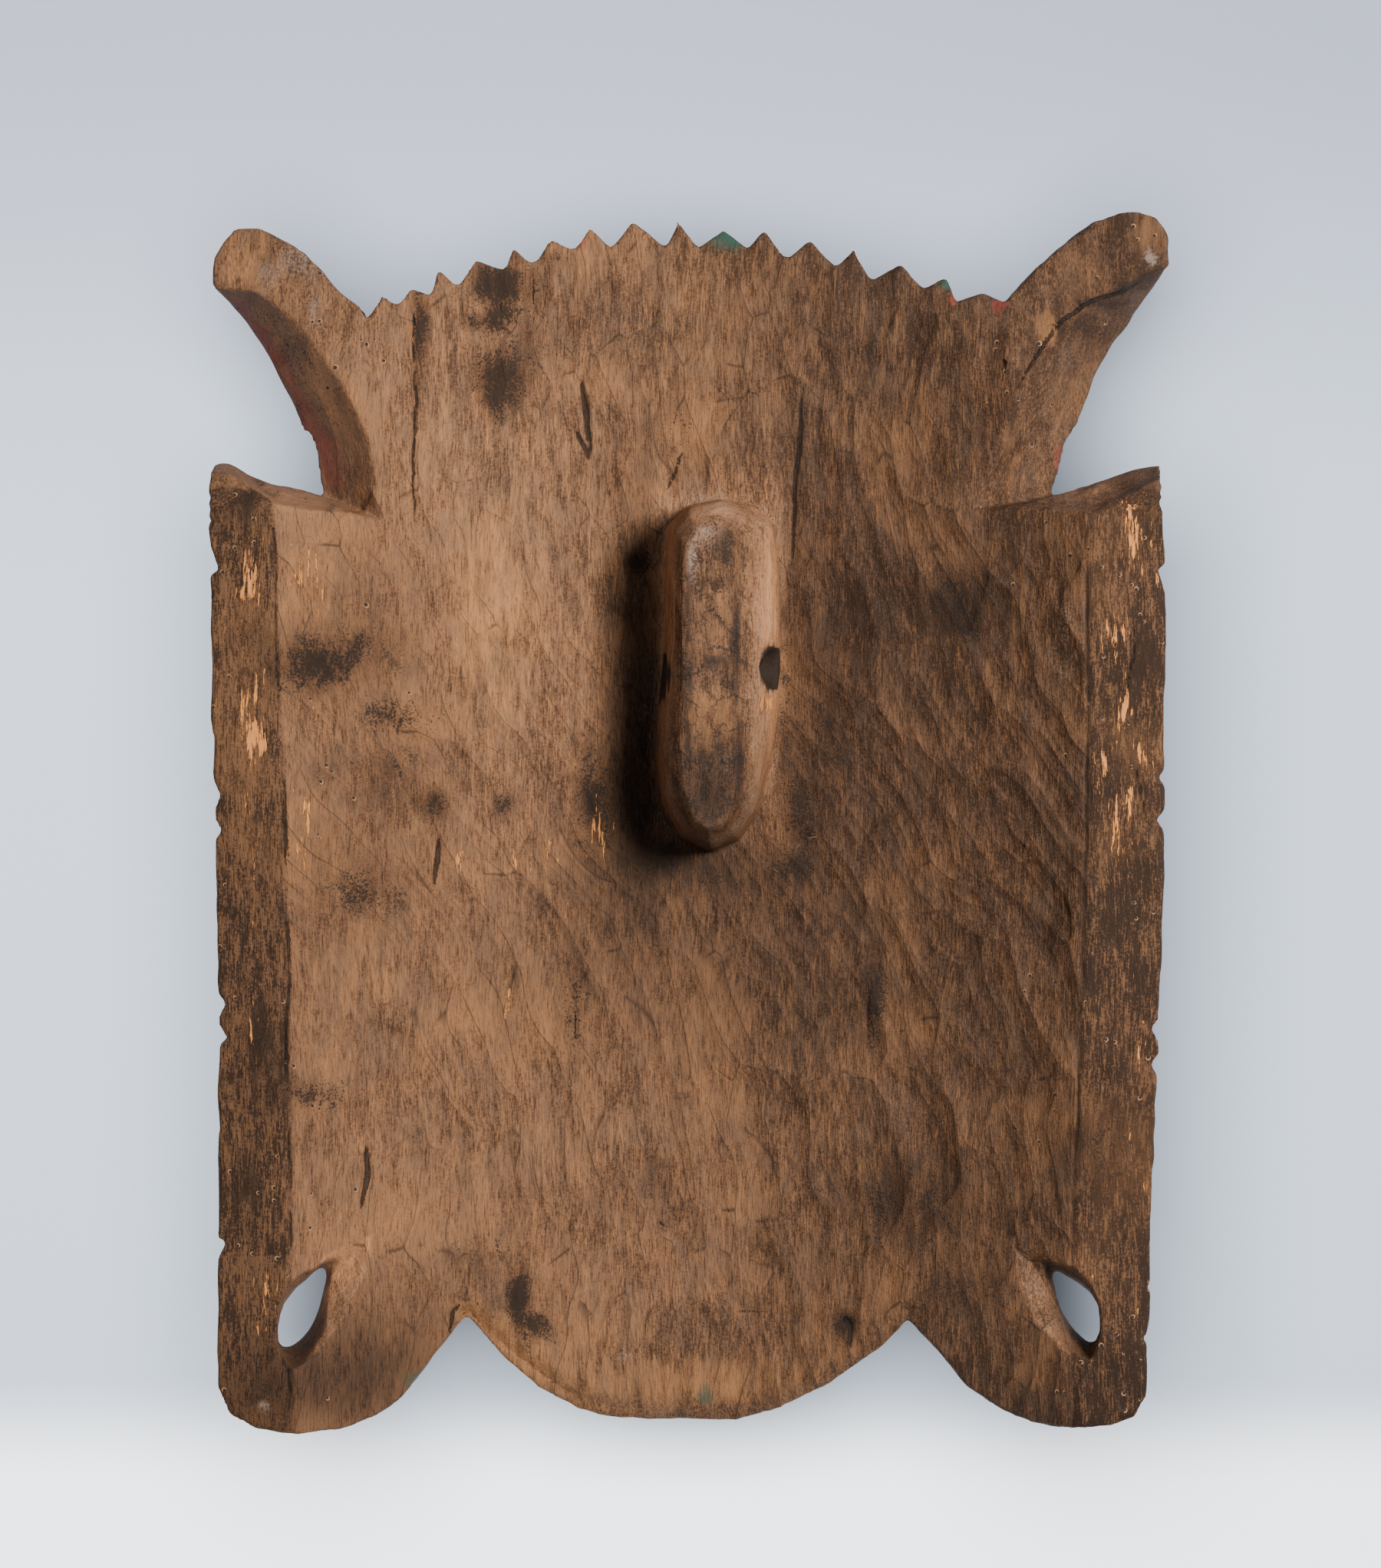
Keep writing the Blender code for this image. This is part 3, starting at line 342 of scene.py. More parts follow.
class Weaver:
    """Adds nodes to a shader or geometry tree and joins them."""

    def __init__(self, tree):
        self.tree = tree

    def node(self, kind, values=None, **settings):
        made = self.tree.nodes.new(kind)
        for key, value in settings.items():
            setattr(made, key, value)
        for key, value in (values or {}).items():
            self.feed(made.inputs[key], value)
        return made

    def feed(self, socket, value):
        if isinstance(value, bpy.types.NodeSocket):
            self.tree.links.new(value, socket)
        elif value is not None:
            socket.default_value = value

    def math(self, operation, a, b=None, c=None, clamp=False):
        made = self.node('ShaderNodeMath', operation=operation, use_clamp=clamp)
        for socket, value in zip(made.inputs, (a, b, c)):
            self.feed(socket, value)
        return made.outputs[0]

    def add(self, *terms):
        total = terms[0]
        for term in terms[1:]:
            total = self.math('ADD', total, term)
        return total

    def times(self, *terms):
        total = terms[0]
        for term in terms[1:]:
            total = self.math('MULTIPLY', total, term)
        return total

    def centred(self, value, *gains):
        """A 0 to 1 value shifted to lie about 0, times its gains."""
        return self.times(self.math('SUBTRACT', value, 0.5), *gains)

    def vector(self, operation, a, b=None, scale=None):
        made = self.node('ShaderNodeVectorMath', operation=operation)
        for socket, value in zip(made.inputs, (a, b)):
            self.feed(socket, value)
        if scale is not None:
            self.feed(made.inputs['Scale'], scale)
        single = operation in {'LENGTH', 'DISTANCE', 'DOT_PRODUCT'}
        return made.outputs['Value'] if single else made.outputs['Vector']

    def split(self, vector):
        made = self.node('ShaderNodeSeparateXYZ', {'Vector': vector})
        return made.outputs['X'], made.outputs['Y'], made.outputs['Z']

    def join(self, x, y, z):
        return self.node('ShaderNodeCombineXYZ', {'X': x, 'Y': y, 'Z': z}).outputs[0]

    def step(self, value, low, high, smooth=True):
        """0 at low, 1 at high, and smooth between; low may be above high."""
        made = self.node('ShaderNodeMapRange', {'Value': value, 'From Min': low, 'From Max': high},
                         interpolation_type='SMOOTHSTEP' if smooth else 'LINEAR')
        return made.outputs['Result']

    def noise(self, vector, scale=1.0, detail=2.0, roughness=0.5, distortion=0.0, offset=0.0):
        if offset:
            vector = self.vector('ADD', vector, (offset, 0.37 * offset, 0.71 * offset))
        made = self.node('ShaderNodeTexNoise', {
            'Vector': vector, 'Scale': scale, 'Detail': detail, 'Roughness': roughness,
            'Distortion': distortion})
        return made.outputs[0]

    def cells(self, vector, feature='F1', randomness=0.9):
        return self.node('ShaderNodeTexVoronoi', {'Vector': vector, 'Scale': 1.0, 'Randomness': randomness},
                         voronoi_dimensions='2D', feature=feature)

    def mix(self, share, a, b, blend='MIX'):
        made = self.node('ShaderNodeMix', data_type='RGBA', blend_type=blend)
        self.feed(made.inputs[0], share)
        self.feed(made.inputs[6], a)
        self.feed(made.inputs[7], b)
        return made.outputs[2]


def group_tree(name, kind, inputs, outputs):
    """A new node group with its sockets, its weaver, and its input and output nodes."""
    tree = bpy.data.node_groups.new(name, kind)
    for label, form, value in inputs:
        socket = tree.interface.new_socket(name=label, in_out='INPUT', socket_type=form)
        if value is not None:
            socket.default_value = value
    for label, form in outputs:
        tree.interface.new_socket(name=label, in_out='OUTPUT', socket_type=form)
    weave = Weaver(tree)
    return tree, weave, weave.node('NodeGroupInput'), weave.node('NodeGroupOutput')


def stroke_coordinates(weave, place, width, length, shift, reach):
    """Places on the wood as counts of strokes across and along, which bend with the carver's hand."""
    x, y, z = weave.split(place)
    slant = weave.times(weave.math('TANH', weave.math('DIVIDE', y, reach)), shift)
    sway = weave.centred(weave.noise(place, scale=15.0, detail=1.0), 0.034)
    drift = weave.centred(weave.noise(place, scale=17.0, detail=0.0, offset=3.0), 0.090)
    across = weave.math('DIVIDE', weave.add(x, slant, sway), width)
    return weave.join(across, weave.math('DIVIDE', weave.add(y, drift), length), 0.0)


def stroke_shapes(weave, strokes):
    """One layer of gouge strokes: height of the hollow scoops, place across each, and a random lot."""
    scoop = weave.cells(strokes)
    aside, along, _ = weave.split(weave.vector('SUBTRACT', strokes, scoop.outputs['Position']))
    bowl = weave.times(scoop.outputs['Distance'], scoop.outputs['Distance'], 1.5)
    step_lot, lot, _ = weave.split(scoop.outputs['Color'])
    return weave.add(bowl, weave.times(along, 0.42), weave.times(step_lot, 0.34), -0.45), aside, lot


def ridge_place(x, y):
    """Distance from the middle of the ridge between hollow and flange."""
    v = y / UNIT
    left = np.interp(v, [row[0] for row in LEFT_RIDGE], [row[1] for row in LEFT_RIDGE])
    right = np.interp(v, [row[0] for row in RIGHT_RIDGE], [row[1] for row in RIGHT_RIDGE])
    return np.where(x < 0, left, right) * UNIT


def hollow_floor(x, y):
    """Level of the hollow's floor under the lug."""
    share = np.minimum(np.abs(x) / ridge_place(x, y), 1.0)
    bow = 1.0 - np.sqrt(1.0 - (HOLLOW_SHAPE * share) ** 2)
    return FLANGE_LEVEL - HOLLOW_DEPTH * (1.0 - bow / (1.0 - math.sqrt(1.0 - HOLLOW_SHAPE ** 2)))


def pixel_place(px, py, level=0.125):
    """Place on the wood at that level that the photograph shows at a pixel."""
    scale = METRES_PER_PIXEL * (CAMERA_ABOVE - (level - SCALE_LEVEL)) / CAMERA_ABOVE
    x = (px - 0.5 * PHOTO_WIDTH) * scale + CAMERA_PLACE[0]
    y = (0.5 * PHOTO_HEIGHT - py) * scale + CAMERA_PLACE[1]
    return x, y


def level_at(px, py):
    """Level of the back at a pixel, by one step from the middle level."""
    x, y = pixel_place(px, py)
    return float(hollow_floor(np.array(x), np.array(y)))


def back_place(px, py):
    """Place on the hollow back that the photograph shows at a pixel."""
    return pixel_place(px, py, level_at(px, py))


def spot_distance(x, y, spot):
    """Square of the distance from an oval spot's middle, counted in its radii."""
    u, v = back_place(*spot[:2])
    rx, ry = spot[2:4]
    return ((x - u) / (rx * METRES_PER_PIXEL)) ** 2 + ((y - v) / (ry * METRES_PER_PIXEL)) ** 2


def spread(x, y, spots, edge=1.0):
    """Strongest of a list of oval spots at each place, 0 to 1; a higher edge number is a harder edge."""
    best = np.zeros(len(x))
    for spot in spots:
        best = np.maximum(best, spot[4] * np.exp(-SPOT_FALL * spot_distance(x, y, spot) ** edge))
    return best


def spread_sum(x, y, spots):
    """Sum of a list of broad soft spots at each place."""
    total = np.zeros(len(x))
    for spot in spots:
        total += spot[4] * np.exp(-SPOT_FALL * spot_distance(x, y, spot))
    return total


def line_distance(x, y, points):
    """Distance from a line of points, and how far along it each place is, 0 to 1."""
    best = np.full(len(x), 1e9)
    along = np.zeros(len(x))
    for k, ((au, av), (bu, bv)) in enumerate(zip(points, points[1:])):
        du, dv = bu - au, bv - av
        t = np.clip(((x - au) * du + (y - av) * dv) / (du * du + dv * dv), 0.0, 1.0)
        far = np.hypot(x - au - t * du, y - av - t * dv)
        along = np.where(far < best, (k + t) / (len(points) - 1), along)
        best = np.minimum(best, far)
    return best, along


def inside_distance(x, y, outline):
    """How far inside a convex outline each place is, and 0 outside it."""
    middle = np.mean(outline, axis=0)
    best = np.full(len(x), 1.0)
    for (au, av), (bu, bv) in zip(outline, outline[1:] + outline[:1]):
        across = np.array((bv - av, au - bu)) / math.hypot(bu - au, bv - av)
        turned = math.copysign(1.0, np.dot(middle - (au, av), across))
        best = np.minimum(best, turned * ((x - au) * across[0] + (y - av) * across[1]))
    return np.maximum(best, 0.0)


def bevel_level(x, y, outline):
    """Distance inside an ear hole's bevel, and the height of its slanting face."""
    inside = inside_distance(x, y, [pixel_place(px, py, FLANGE_LEVEL - 0.02) for px, py in outline])
    return inside, hollow_floor(x, y) + 0.001 - BEVEL_SLOPE * inside


def bevel_share(x, y, z):
    """How much of each place lies on the slanting face at an ear hole's mouth."""
    share = np.zeros(len(x))
    for outline in EAR_BEVELS:
        inside, level = bevel_level(x, y, outline)
        share = np.maximum(share, soft(inside, 0.0, 0.0016) * soft(np.abs(z - level), 0.007, 0.003))
    return share


def chin_rim(x, y):
    """Distance from the chin's lower edge on the back."""
    return line_distance(x, y, [pixel_place(px, py, FLANGE_LEVEL - 0.03) for px, py in CHIN_RIM])


def grit(x, y, z, size, seed):
    """Smooth random heights, -1 to 1, on a lattice of the given size."""
    total = np.zeros(len(x))
    u, v, w = x / size + 17.3 * seed, y / size - 9.1 * seed, z / size + 4.7 * seed
    iu, iv, iw = np.floor(u), np.floor(v), np.floor(w)
    fu, fv, fw = (f * f * (3.0 - 2.0 * f) for f in (u - iu, v - iv, w - iw))
    for a in (0, 1):
        for b in (0, 1):
            for c in (0, 1):
                lot = np.sin((iu + a) * 127.1 + (iv + b) * 311.7 + (iw + c) * 74.7 + seed) * 43758.5453
                share = (fu if a else 1 - fu) * (fv if b else 1 - fv) * (fw if c else 1 - fw)
                total += share * (lot - np.floor(lot))
    return 2.0 * total - 1.0


def soft(value, low, high):
    """0 at low, 1 at high, smooth between."""
    t = np.clip((value - low) / (high - low), 0.0, 1.0)
    return t * t * (3.0 - 2.0 * t)


def places_and_normals(mesh):
    count = len(mesh.vertices)
    places, normals = np.zeros(count * 3), np.zeros(count * 3)
    mesh.vertices.foreach_get('co', places)
    mesh.vertex_normals.foreach_get('vector', normals)
    return places.reshape(-1, 3), normals.reshape(-1, 3)


def regions(places, normals):
    """Shares of the surface that belong to the back, the lug, the flanges, the horns and the front."""
    x, y, z = places.T
    back = soft(normals[:, 2], 0.1, 0.55) * soft(z, 0.07, 0.085)
    lug = soft(z - hollow_floor(x, y), 0.002, 0.006) * (oval_share(x, y) < 1.0)
    ridge = ridge_place(x, y)
    flange = soft(np.abs(x), ridge - 0.001, ridge + 0.001) * (y < 0.17) * back
    horn = soft(y / UNIT, HORN_START, HORN_START + 20) * soft(np.abs(x) / UNIT, 225, 250)
    front = soft(-normals[:, 2], -0.25, 0.25) * soft(z, 0.150, 0.130)
    return back, lug, flange, horn, front


def oval_share(x, y, roundness=4):
    """How far out of the lug's plan each place is: below 1 is inside."""
    across, along = (x / UNIT - LUG_MIDDLE[0]) / LUG_RADII[0], (y / UNIT - LUG_MIDDLE[1]) / LUG_RADII[1]
    return across ** roundness + along ** roundness


def write_mask(mesh, name, values):
    layer = mesh.attributes.get(name) or mesh.attributes.new(name, 'FLOAT', 'POINT')
    layer.data.foreach_set('value', np.ascontiguousarray(values, dtype=np.float32))


def worn_ridge(x, y, z):
    """The ridge between hollow and flange, as it wanders in the worn wood."""
    return ridge_place(x, y) + 0.0016 * grit(x, y, z, 0.035, 7.0) + 0.0006 * grit(x, y, z, 0.008, 8.0)


def crack_lines(x, y, z):
    """Depth in millimetres, half width, distance and place along, for each crack and nick."""
    wander = 0.0006 * grit(x, y, z, 0.006, 3.0)
    for points, half, deep in CRACKS + NICKS:
        far, along = line_distance(x + wander, y, [back_place(*point) for point in points])
        yield deep, half, far, np.sin(np.pi * np.clip(along, 0.02, 0.98))


def rim_wear(x):
    """How strong the chin's rim still is: it fades to the right."""
    return 0.30 + 0.70 * soft(x, -0.02, -0.08)


def carved_depth(x, y, z, open_back):
    """Depth of cracks, knots, the crease at each ridge and the chin's rim."""
    depth = np.zeros(len(x))
    ragged = 0.7 + 0.3 * grit(x, y, z, 0.007, 13.0)
    for deep, half, far, bulge in crack_lines(x, y, z):
        taper = np.sqrt(np.clip(bulge, 0.0, 1.0))
        depth += 0.0007 * deep * taper * ragged * open_back * np.exp(-(far / (CRACK_WIDTH * half)) ** 2)
    for spot in KNOTS:
        bowl = np.exp(-spot_distance(x, y, spot) ** 1.5) * (1.0 + 0.4 * grit(x, y, z, 0.003, 5.0))
        depth += 0.001 * spot[4] * open_back * bowl
    crease = np.exp(-((np.abs(x) - worn_ridge(x, y, z)) / CREASE_WIDTH) ** 2)
    depth += CREASE_DEPTH * crease * (y < CREASE_TOP) * open_back
    rim_far, _ = chin_rim(x, y)
    depth += RIM_DROP * rim_wear(x) * soft(rim_far, RIM_WIDTH, 0.0) * open_back
    return depth


def carve_surface(mesh):
    """Cracks, knots, nicks, creases, worn swells, the notches of the lug's cross hole with a mask of painted
    shade at their mouths, and the share of gouge marks.
    """
    places, normals = places_and_normals(mesh)
    x, y, z = places.T
    back, lug, flange, horn, _ = regions(places, normals)
    open_back = back * (1.0 - lug)
    swell = 0.0011 * grit(x, y, z, 0.050, 1.0) + 0.0005 * grit(x, y, z, 0.018, 2.0)
    flute = 0.0007 * grit(x, y * 0.12, z, 0.012, 4.0) * soft(y, 0.120, 0.230) * open_back
    rough = 0.00022 * grit(x, y * 0.4, z, 0.0035, 6.0)
    share = 1.0 - 0.72 * flange - 0.45 * horn - 0.55 * lug
    share = np.clip(share, 0.0, 1.0) * (0.35 + 0.65 * back)
    uneven = 0.0005 * grit(x, y, z, 0.009, 18.0) + 0.0005 * grit(x, y, z, 0.020, 19.0)
    uneven = uneven * soft(np.abs(normals[:, 2]), 0.7, 0.3)
    rise = swell * (1.0 - 0.6 * lug) + flute + rough + uneven * (1.0 - lug) - carved_depth(x, y, z, open_back)
    moved = places + normals * rise[:, None]
    on_lug = (z > hollow_floor(x, y) + 0.004) * (oval_share(x, y) < 1.4)
    flared = np.zeros(len(x))
    for side, middle, half, outer, deep in HOLE_NOTCHES:
        near = np.abs(y - middle) / half
        limit = outer + deep * np.minimum(near, 1.0) ** 2 + 0.0012 * grit(x, y, z, 0.006, 15.0)
        cut = (near < 1.0) * on_lug * (side * moved[:, 0] > limit) * (z > HOLE_LEVEL - 0.006)
        moved[:, 0] = np.where(cut, side * limit, moved[:, 0])
        # Where the hole meets each side of the lug, its mouth is marked to be painted near black: painted shade
        # standing in for the depth of the hole
        within = (near < 1.0) * on_lug * (side * x > limit - 0.004) * soft(near, 1.05, 0.85)
        flared = np.maximum(flared, within * soft(z, HOLE_LEVEL + 0.034, HOLE_LEVEL + 0.024))
    for outline in EAR_BEVELS:
        inside, limit = bevel_level(x, y, outline)
        moved[:, 2] = np.where((inside > 0.0) * (z > 0.09), np.minimum(moved[:, 2], limit), moved[:, 2])
    moved[:, 2] = np.maximum(moved[:, 2], 0.0)
    write_mask(mesh, 'painted_hole_shade', flared)
    mesh.vertices.foreach_set('co', moved.ravel())
    write_mask(mesh, 'gouged', share)
    mesh.update()


def finish_masks(mesh):
    """Writes where soot, rubbing, bare wood, cracks and paint are, for the wood finish to read."""
    places, normals = places_and_normals(mesh)
    x, y, z = places.T
    back, lug, flange, horn, front = regions(places, normals)
    open_back = back * (1.0 - lug)
    behind = soft(normals[:, 2], -0.1, 0.3)
    cracks = np.zeros(len(x))
    for deep, half, far, bulge in crack_lines(x, y, z):
        line = bulge ** 0.35 * np.exp(-(far / (CRACK_STAIN_WIDTH * half)) ** 2)
        cracks = np.maximum(cracks, min(1.0, 0.55 * deep) * line)
    crease = np.exp(-((np.abs(x) - worn_ridge(x, y, z)) / CREASE_STAIN_WIDTH) ** 2) * (y < CREASE_TOP)
    crease = crease * (0.62 + 0.38 * grit(x, y, z, 0.015, 9.0))
    rim_far, _ = chin_rim(x, y)
    rim_far = rim_far + 0.0016 * grit(x, y, z, 0.010, 16.0)
    rim = soft(rim_far, RIM_WIDTH * 1.2, RIM_WIDTH * 0.7) * back * rim_wear(x)
    rim_line = np.exp(-((rim_far - RIM_WIDTH) / RIM_LINE_WIDTH) ** 2) * rim_wear(x)
    crown = lug * soft(z, LUG_TOP - 0.010, LUG_TOP - 0.003)
    # The tone falls from left to right across the back: partly the wood's own darker right half, partly painted
    # shade for the right slope of the hollow, which faces away from the key light
    tone = 0.52 - 0.22 * np.tanh(1.3 * x / 0.20) - 0.30 * flange - 0.10 * soft(y, 0.12, 0.25)
    tone = tone + 0.25 * (lug - crown) + 0.12 * grit(x, y, z, 0.06, 11.0)
    bevel = bevel_share(x, y, z)
    # The front is made a little darker, and the back right of the middle darker still, partly as painted shade
    # like the tone above
    patina_and_painted_light = spread_sum(x, y, PATINA_AND_PAINTED_LIGHT) * soft(z, 0.02, 0.06) - 0.3 * front - 0.35 * soft(x, -0.02, 0.06) * behind
    # The flanges are darker wood; the ear holes' bevels are made lighter, partly their worn pale wood and
    # partly painted light where they face away from the key light
    patina_and_painted_light = patina_and_painted_light - flange * np.where(x < 0, 0.72, 0.46) + bevel * np.where(x < 0, 0.8, 0.6)
    eaten = np.clip(0.9 * flange + 0.5 * horn * back + soft(np.abs(x), 0.135, 0.19) * 0.35, 0.0, 1.0)
    eaten = eaten * soft(grit(x, y, z, 0.03, 12.0), -0.5, 0.6) * soft(z, 0.04, 0.08)
    foot = soft(z - hollow_floor(x, y), 0.012, 0.001) * open_back
    fuzz = foot * np.exp(-((np.sqrt(oval_share(x, y, 2)) - 1.02) / 0.08) ** 2) * soft(y, -0.02, 0.06)
    fuzz = fuzz + 0.35 * spread(x, y, FUZZ) * open_back
    left_horn = soft(z, 0.122, 0.106) * soft(normals[:, 2], 0.85, 0.70) * (x < -215 * UNIT) * horn

    def worn(off_lug, on_lug):
        return (spread(x, y, off_lug) * (1.0 - lug) + spread(x, y, on_lug) * lug) * behind

    masks = {
        'soot': worn(SOOT, LUG_SOOT),
        'rubbed': np.maximum(worn(RUBBED, LUG_RUBBED), 0.9 * rim),
        'bare': worn(BARE, LUG_BARE),
        'green_trace': spread(x, y, GREEN_TRACES, 2.0) * behind,
        'red_trace': np.maximum(spread(x, y, RED_TRACES, 2.0) * behind, 0.68 * left_horn),
        # The pale dust on the ear holes' bevels is partly painted light as well
        'pale_dust': np.maximum(
            spread(x, y, PALE_DUST) + 0.36 * bevel, 0.5 * lug * (1.0 - 0.3 * crown)) * behind,
        'crack': np.maximum(np.maximum(cracks, 0.8 * crease), 0.35 * rim_line) * open_back,
        'tone': np.clip(tone, 0.0, 1.0),
        'lug': lug, 'crown': crown, 'patina_and_painted_light': patina_and_painted_light, 'flange': flange, 'eaten': eaten, 'fuzz': fuzz,
    }
    masks.update(paint_masks(x / UNIT, y / UNIT, front, horn))
    for name, values in masks.items():
        write_mask(mesh, name, values)


def paint_masks(u, v, front, horn):
    """Where the worn paint of the front lies, in thousandths of the height."""
    side = np.abs(u)
    band = soft(BAND_HALF - np.abs(v - BAND_MIDDLE), -2, 3) * (side < BAND_REACH)
    boss = np.zeros(len(u))
    for place in BOSS_PLACES:
        boss = np.maximum(boss, soft(BOSS_RADIUS - np.hypot(u - place, v - BAND_MIDDLE), -2, 3))
    crest = soft(v, CREST_START, CREST_START + 10) * (1.0 - horn)

    def oval(across, middle, radii):
        far = ((across - middle[0]) / radii[0]) ** 2 + ((v - middle[1]) / radii[1]) ** 2
        return soft(1.0 - far, 0.0, 0.25)

    eye = oval(side, EYE_PLACE, EYE_RADII)
    mouth = oval(u, MOUTH_PLACE, MOUTH_RADII)
    pupil = soft(PUPIL_RADIUS - np.hypot(side - EYE_PLACE[0], (v - EYE_PLACE[1]) * 1.05), -2, 2)
    brow = soft(BROW_HALF - line_distance(side, v, BROW_LINE)[0], -3, 3)
    ear_band = np.zeros(len(u))
    for middle in EAR_BANDS:
        ear_band = np.maximum(ear_band, soft(EAR_BAND_HALF - np.abs(v - middle), -2, 2) * (side > EAR_START))
    stripe = soft(np.sin(u * 2.0 * math.pi / FLUTE_WIDTH + 0.6), 0.2, 0.5)
    return {
        'red': front * np.clip(horn + mouth + ear_band + crest * stripe + 0.45 * band * boss, 0.0, 1.0),
        'green': front * np.clip(band * (1.0 - boss) + crest * (1.0 - stripe), 0.0, 1.0),
        'white': front * np.clip(eye * (1.0 - pupil) + 0.7 * boss, 0.0, 1.0),
        'black': front * np.clip(brow + pupil, 0.0, 1.0),
    }


def applied(thing):
    """Puts the result of a thing's modifiers into its mesh."""
    graph = bpy.context.evaluated_depsgraph_get()
    mesh = bpy.data.meshes.new_from_object(
        thing.evaluated_get(graph), preserve_all_data_layers=True, depsgraph=graph)
    old = thing.data
    thing.modifiers.clear()
    thing.data = mesh
    bpy.data.meshes.remove(old)
    return mesh


def node_modifier(thing, tree, values):
    """Adds a Geometry Nodes modifier and sets its inputs by their names."""
    modifier = thing.modifiers.new(tree.name, 'NODES')
    modifier.node_group = tree
    for item in tree.interface.items_tree:
        if item.in_out == 'INPUT' and item.name in values:
            modifier[item.identifier] = values[item.name]
    return modifier


def wood_mask(weave, name):
    """A mask of the wood, read in geometry nodes."""
    read = weave.node('GeometryNodeInputNamedAttribute', {'Name': name}, data_type='FLOAT')
    return read.outputs['Attribute']


def tool_mark_tree():
    """Geometry nodes that press gouge strokes into the wood along its normals."""
    tree, weave, given, result = group_tree(
        'tool_marks', 'GeometryNodeTree',
        [('Wood', 'NodeSocketGeometry', None), ('Width', 'NodeSocketFloat', 0.02),
         ('Length', 'NodeSocketFloat', 0.06), ('Depth', 'NodeSocketFloat', 0.0015),
         ('Slant', 'NodeSocketFloat', 0.055), ('Reach', 'NodeSocketFloat', 0.11)],
        [('Wood', 'NodeSocketGeometry')])
    place = weave.node('GeometryNodeInputPosition').outputs[0]
    normal = weave.node('GeometryNodeInputNormal').outputs[0]
    strokes = stroke_coordinates(weave, place, given.outputs['Width'], given.outputs['Length'],
                                 given.outputs['Slant'], given.outputs['Reach'])
    height = weave.times(stroke_shapes(weave, strokes)[0], wood_mask(weave, 'gouged'), given.outputs['Depth'])
    shift = weave.vector('SCALE', normal, scale=height)
    moved = weave.node('GeometryNodeSetPosition', {'Geometry': given.outputs['Wood'], 'Offset': shift})
    weave.feed(result.inputs[0], moved.outputs[0])
    return tree


def fibre_group():
    """Shader group: fine and coarse fibres of the wood, which run along Y and sway a little."""
    patterns = {'Fine': (0.10, 1.25, 5.0, 0.66, 0.0), 'Coarse': (0.17, 0.21, 4.0, 0.6, 31.0),
                'Dashes': (0.20, 1.9, 2.0, 0.5, 57.0), 'Flakes': (0.11, 0.46, 6.0, 0.68, 73.0)}
    tree, weave, given, result = group_tree(
        'wood_fibres', 'ShaderNodeTree',
        [('Place', 'NodeSocketVector', None), ('Sway', 'NodeSocketFloat', 7.0)],
        [(name, 'NodeSocketFloat') for name in patterns])
    x, y, z = weave.split(given.outputs['Place'])
    sway = weave.math('SUBTRACT', weave.noise(given.outputs['Place'], scale=0.016, detail=1.0), 0.5)
    across = weave.add(x, weave.times(sway, given.outputs['Sway']))
    for name, (stretch, scale, detail, roughness, offset) in patterns.items():
        drawn = weave.join(across, weave.times(y, stretch), z)
        weave.feed(result.inputs[name], weave.noise(drawn, scale, detail, roughness, offset=offset))
    return tree


def stroke_group(sizes):
    """Shader group: the same gouge strokes as in the mesh, as height, as a random lot for each stroke, and as
    thin dark edges along one side of each stroke that are painted shade.
    """
    tree, weave, given, result = group_tree(
        'stroke_edges', 'ShaderNodeTree',
        [('Place', 'NodeSocketVector', None), ('Width', 'NodeSocketFloat', sizes.gouge_width),
         ('Length', 'NodeSocketFloat', sizes.gouge_length), ('Slant', 'NodeSocketFloat', sizes.stroke_shift),
         ('Reach', 'NodeSocketFloat', sizes.stroke_reach)],
        [('Height', 'NodeSocketFloat'), ('Edge', 'NodeSocketFloat'), ('Lot', 'NodeSocketFloat')])
    strokes = stroke_coordinates(weave, given.outputs['Place'], given.outputs['Width'], given.outputs['Length'],
                                 given.outputs['Slant'], given.outputs['Reach'])
    edge = weave.cells(strokes, 'DISTANCE_TO_EDGE').outputs['Distance']
    height, aside, lot = stroke_shapes(weave, strokes)
    weave.feed(result.inputs['Lot'], lot)
    weave.feed(result.inputs['Height'], height)
    weave.feed(result.inputs['Edge'], weave.times(weave.step(edge, 0.06, 0.0), weave.step(aside, 0.05, 0.25)))
    return tree


def worn_paint_group():
    """Shader group: an area of paint whose film is worn through along the fibres."""
    tree, weave, given, result = group_tree(
        'worn_paint', 'ShaderNodeTree',
        [('Area', 'NodeSocketFloat', 0.0), ('Wear', 'NodeSocketFloat', 0.5),
         ('Amount', 'NodeSocketFloat', 0.5)],
        [('Mask', 'NodeSocketFloat')])
    film = weave.add(given.outputs['Area'], weave.centred(given.outputs['Wear'], -2.2))
    low = weave.times(given.outputs['Amount'], 0.9)
    mask = weave.step(film, low, weave.add(low, 0.18))
    inside = weave.step(given.outputs['Area'], 0.05, 0.3)
    weave.feed(result.inputs['Mask'], weave.times(mask, inside))
    return tree


def new_material(name, roughness, colour=(0.5, 0.5, 0.5)):
    material = bpy.data.materials.new(name)
    material.use_nodes = True
    weave = Weaver(material.node_tree)
    shader = material.node_tree.nodes['Principled BSDF']
    shader.inputs['Roughness'].default_value = roughness
    shader.inputs['Base Color'].default_value = (*colour, 1.0)
    return material, weave, shader


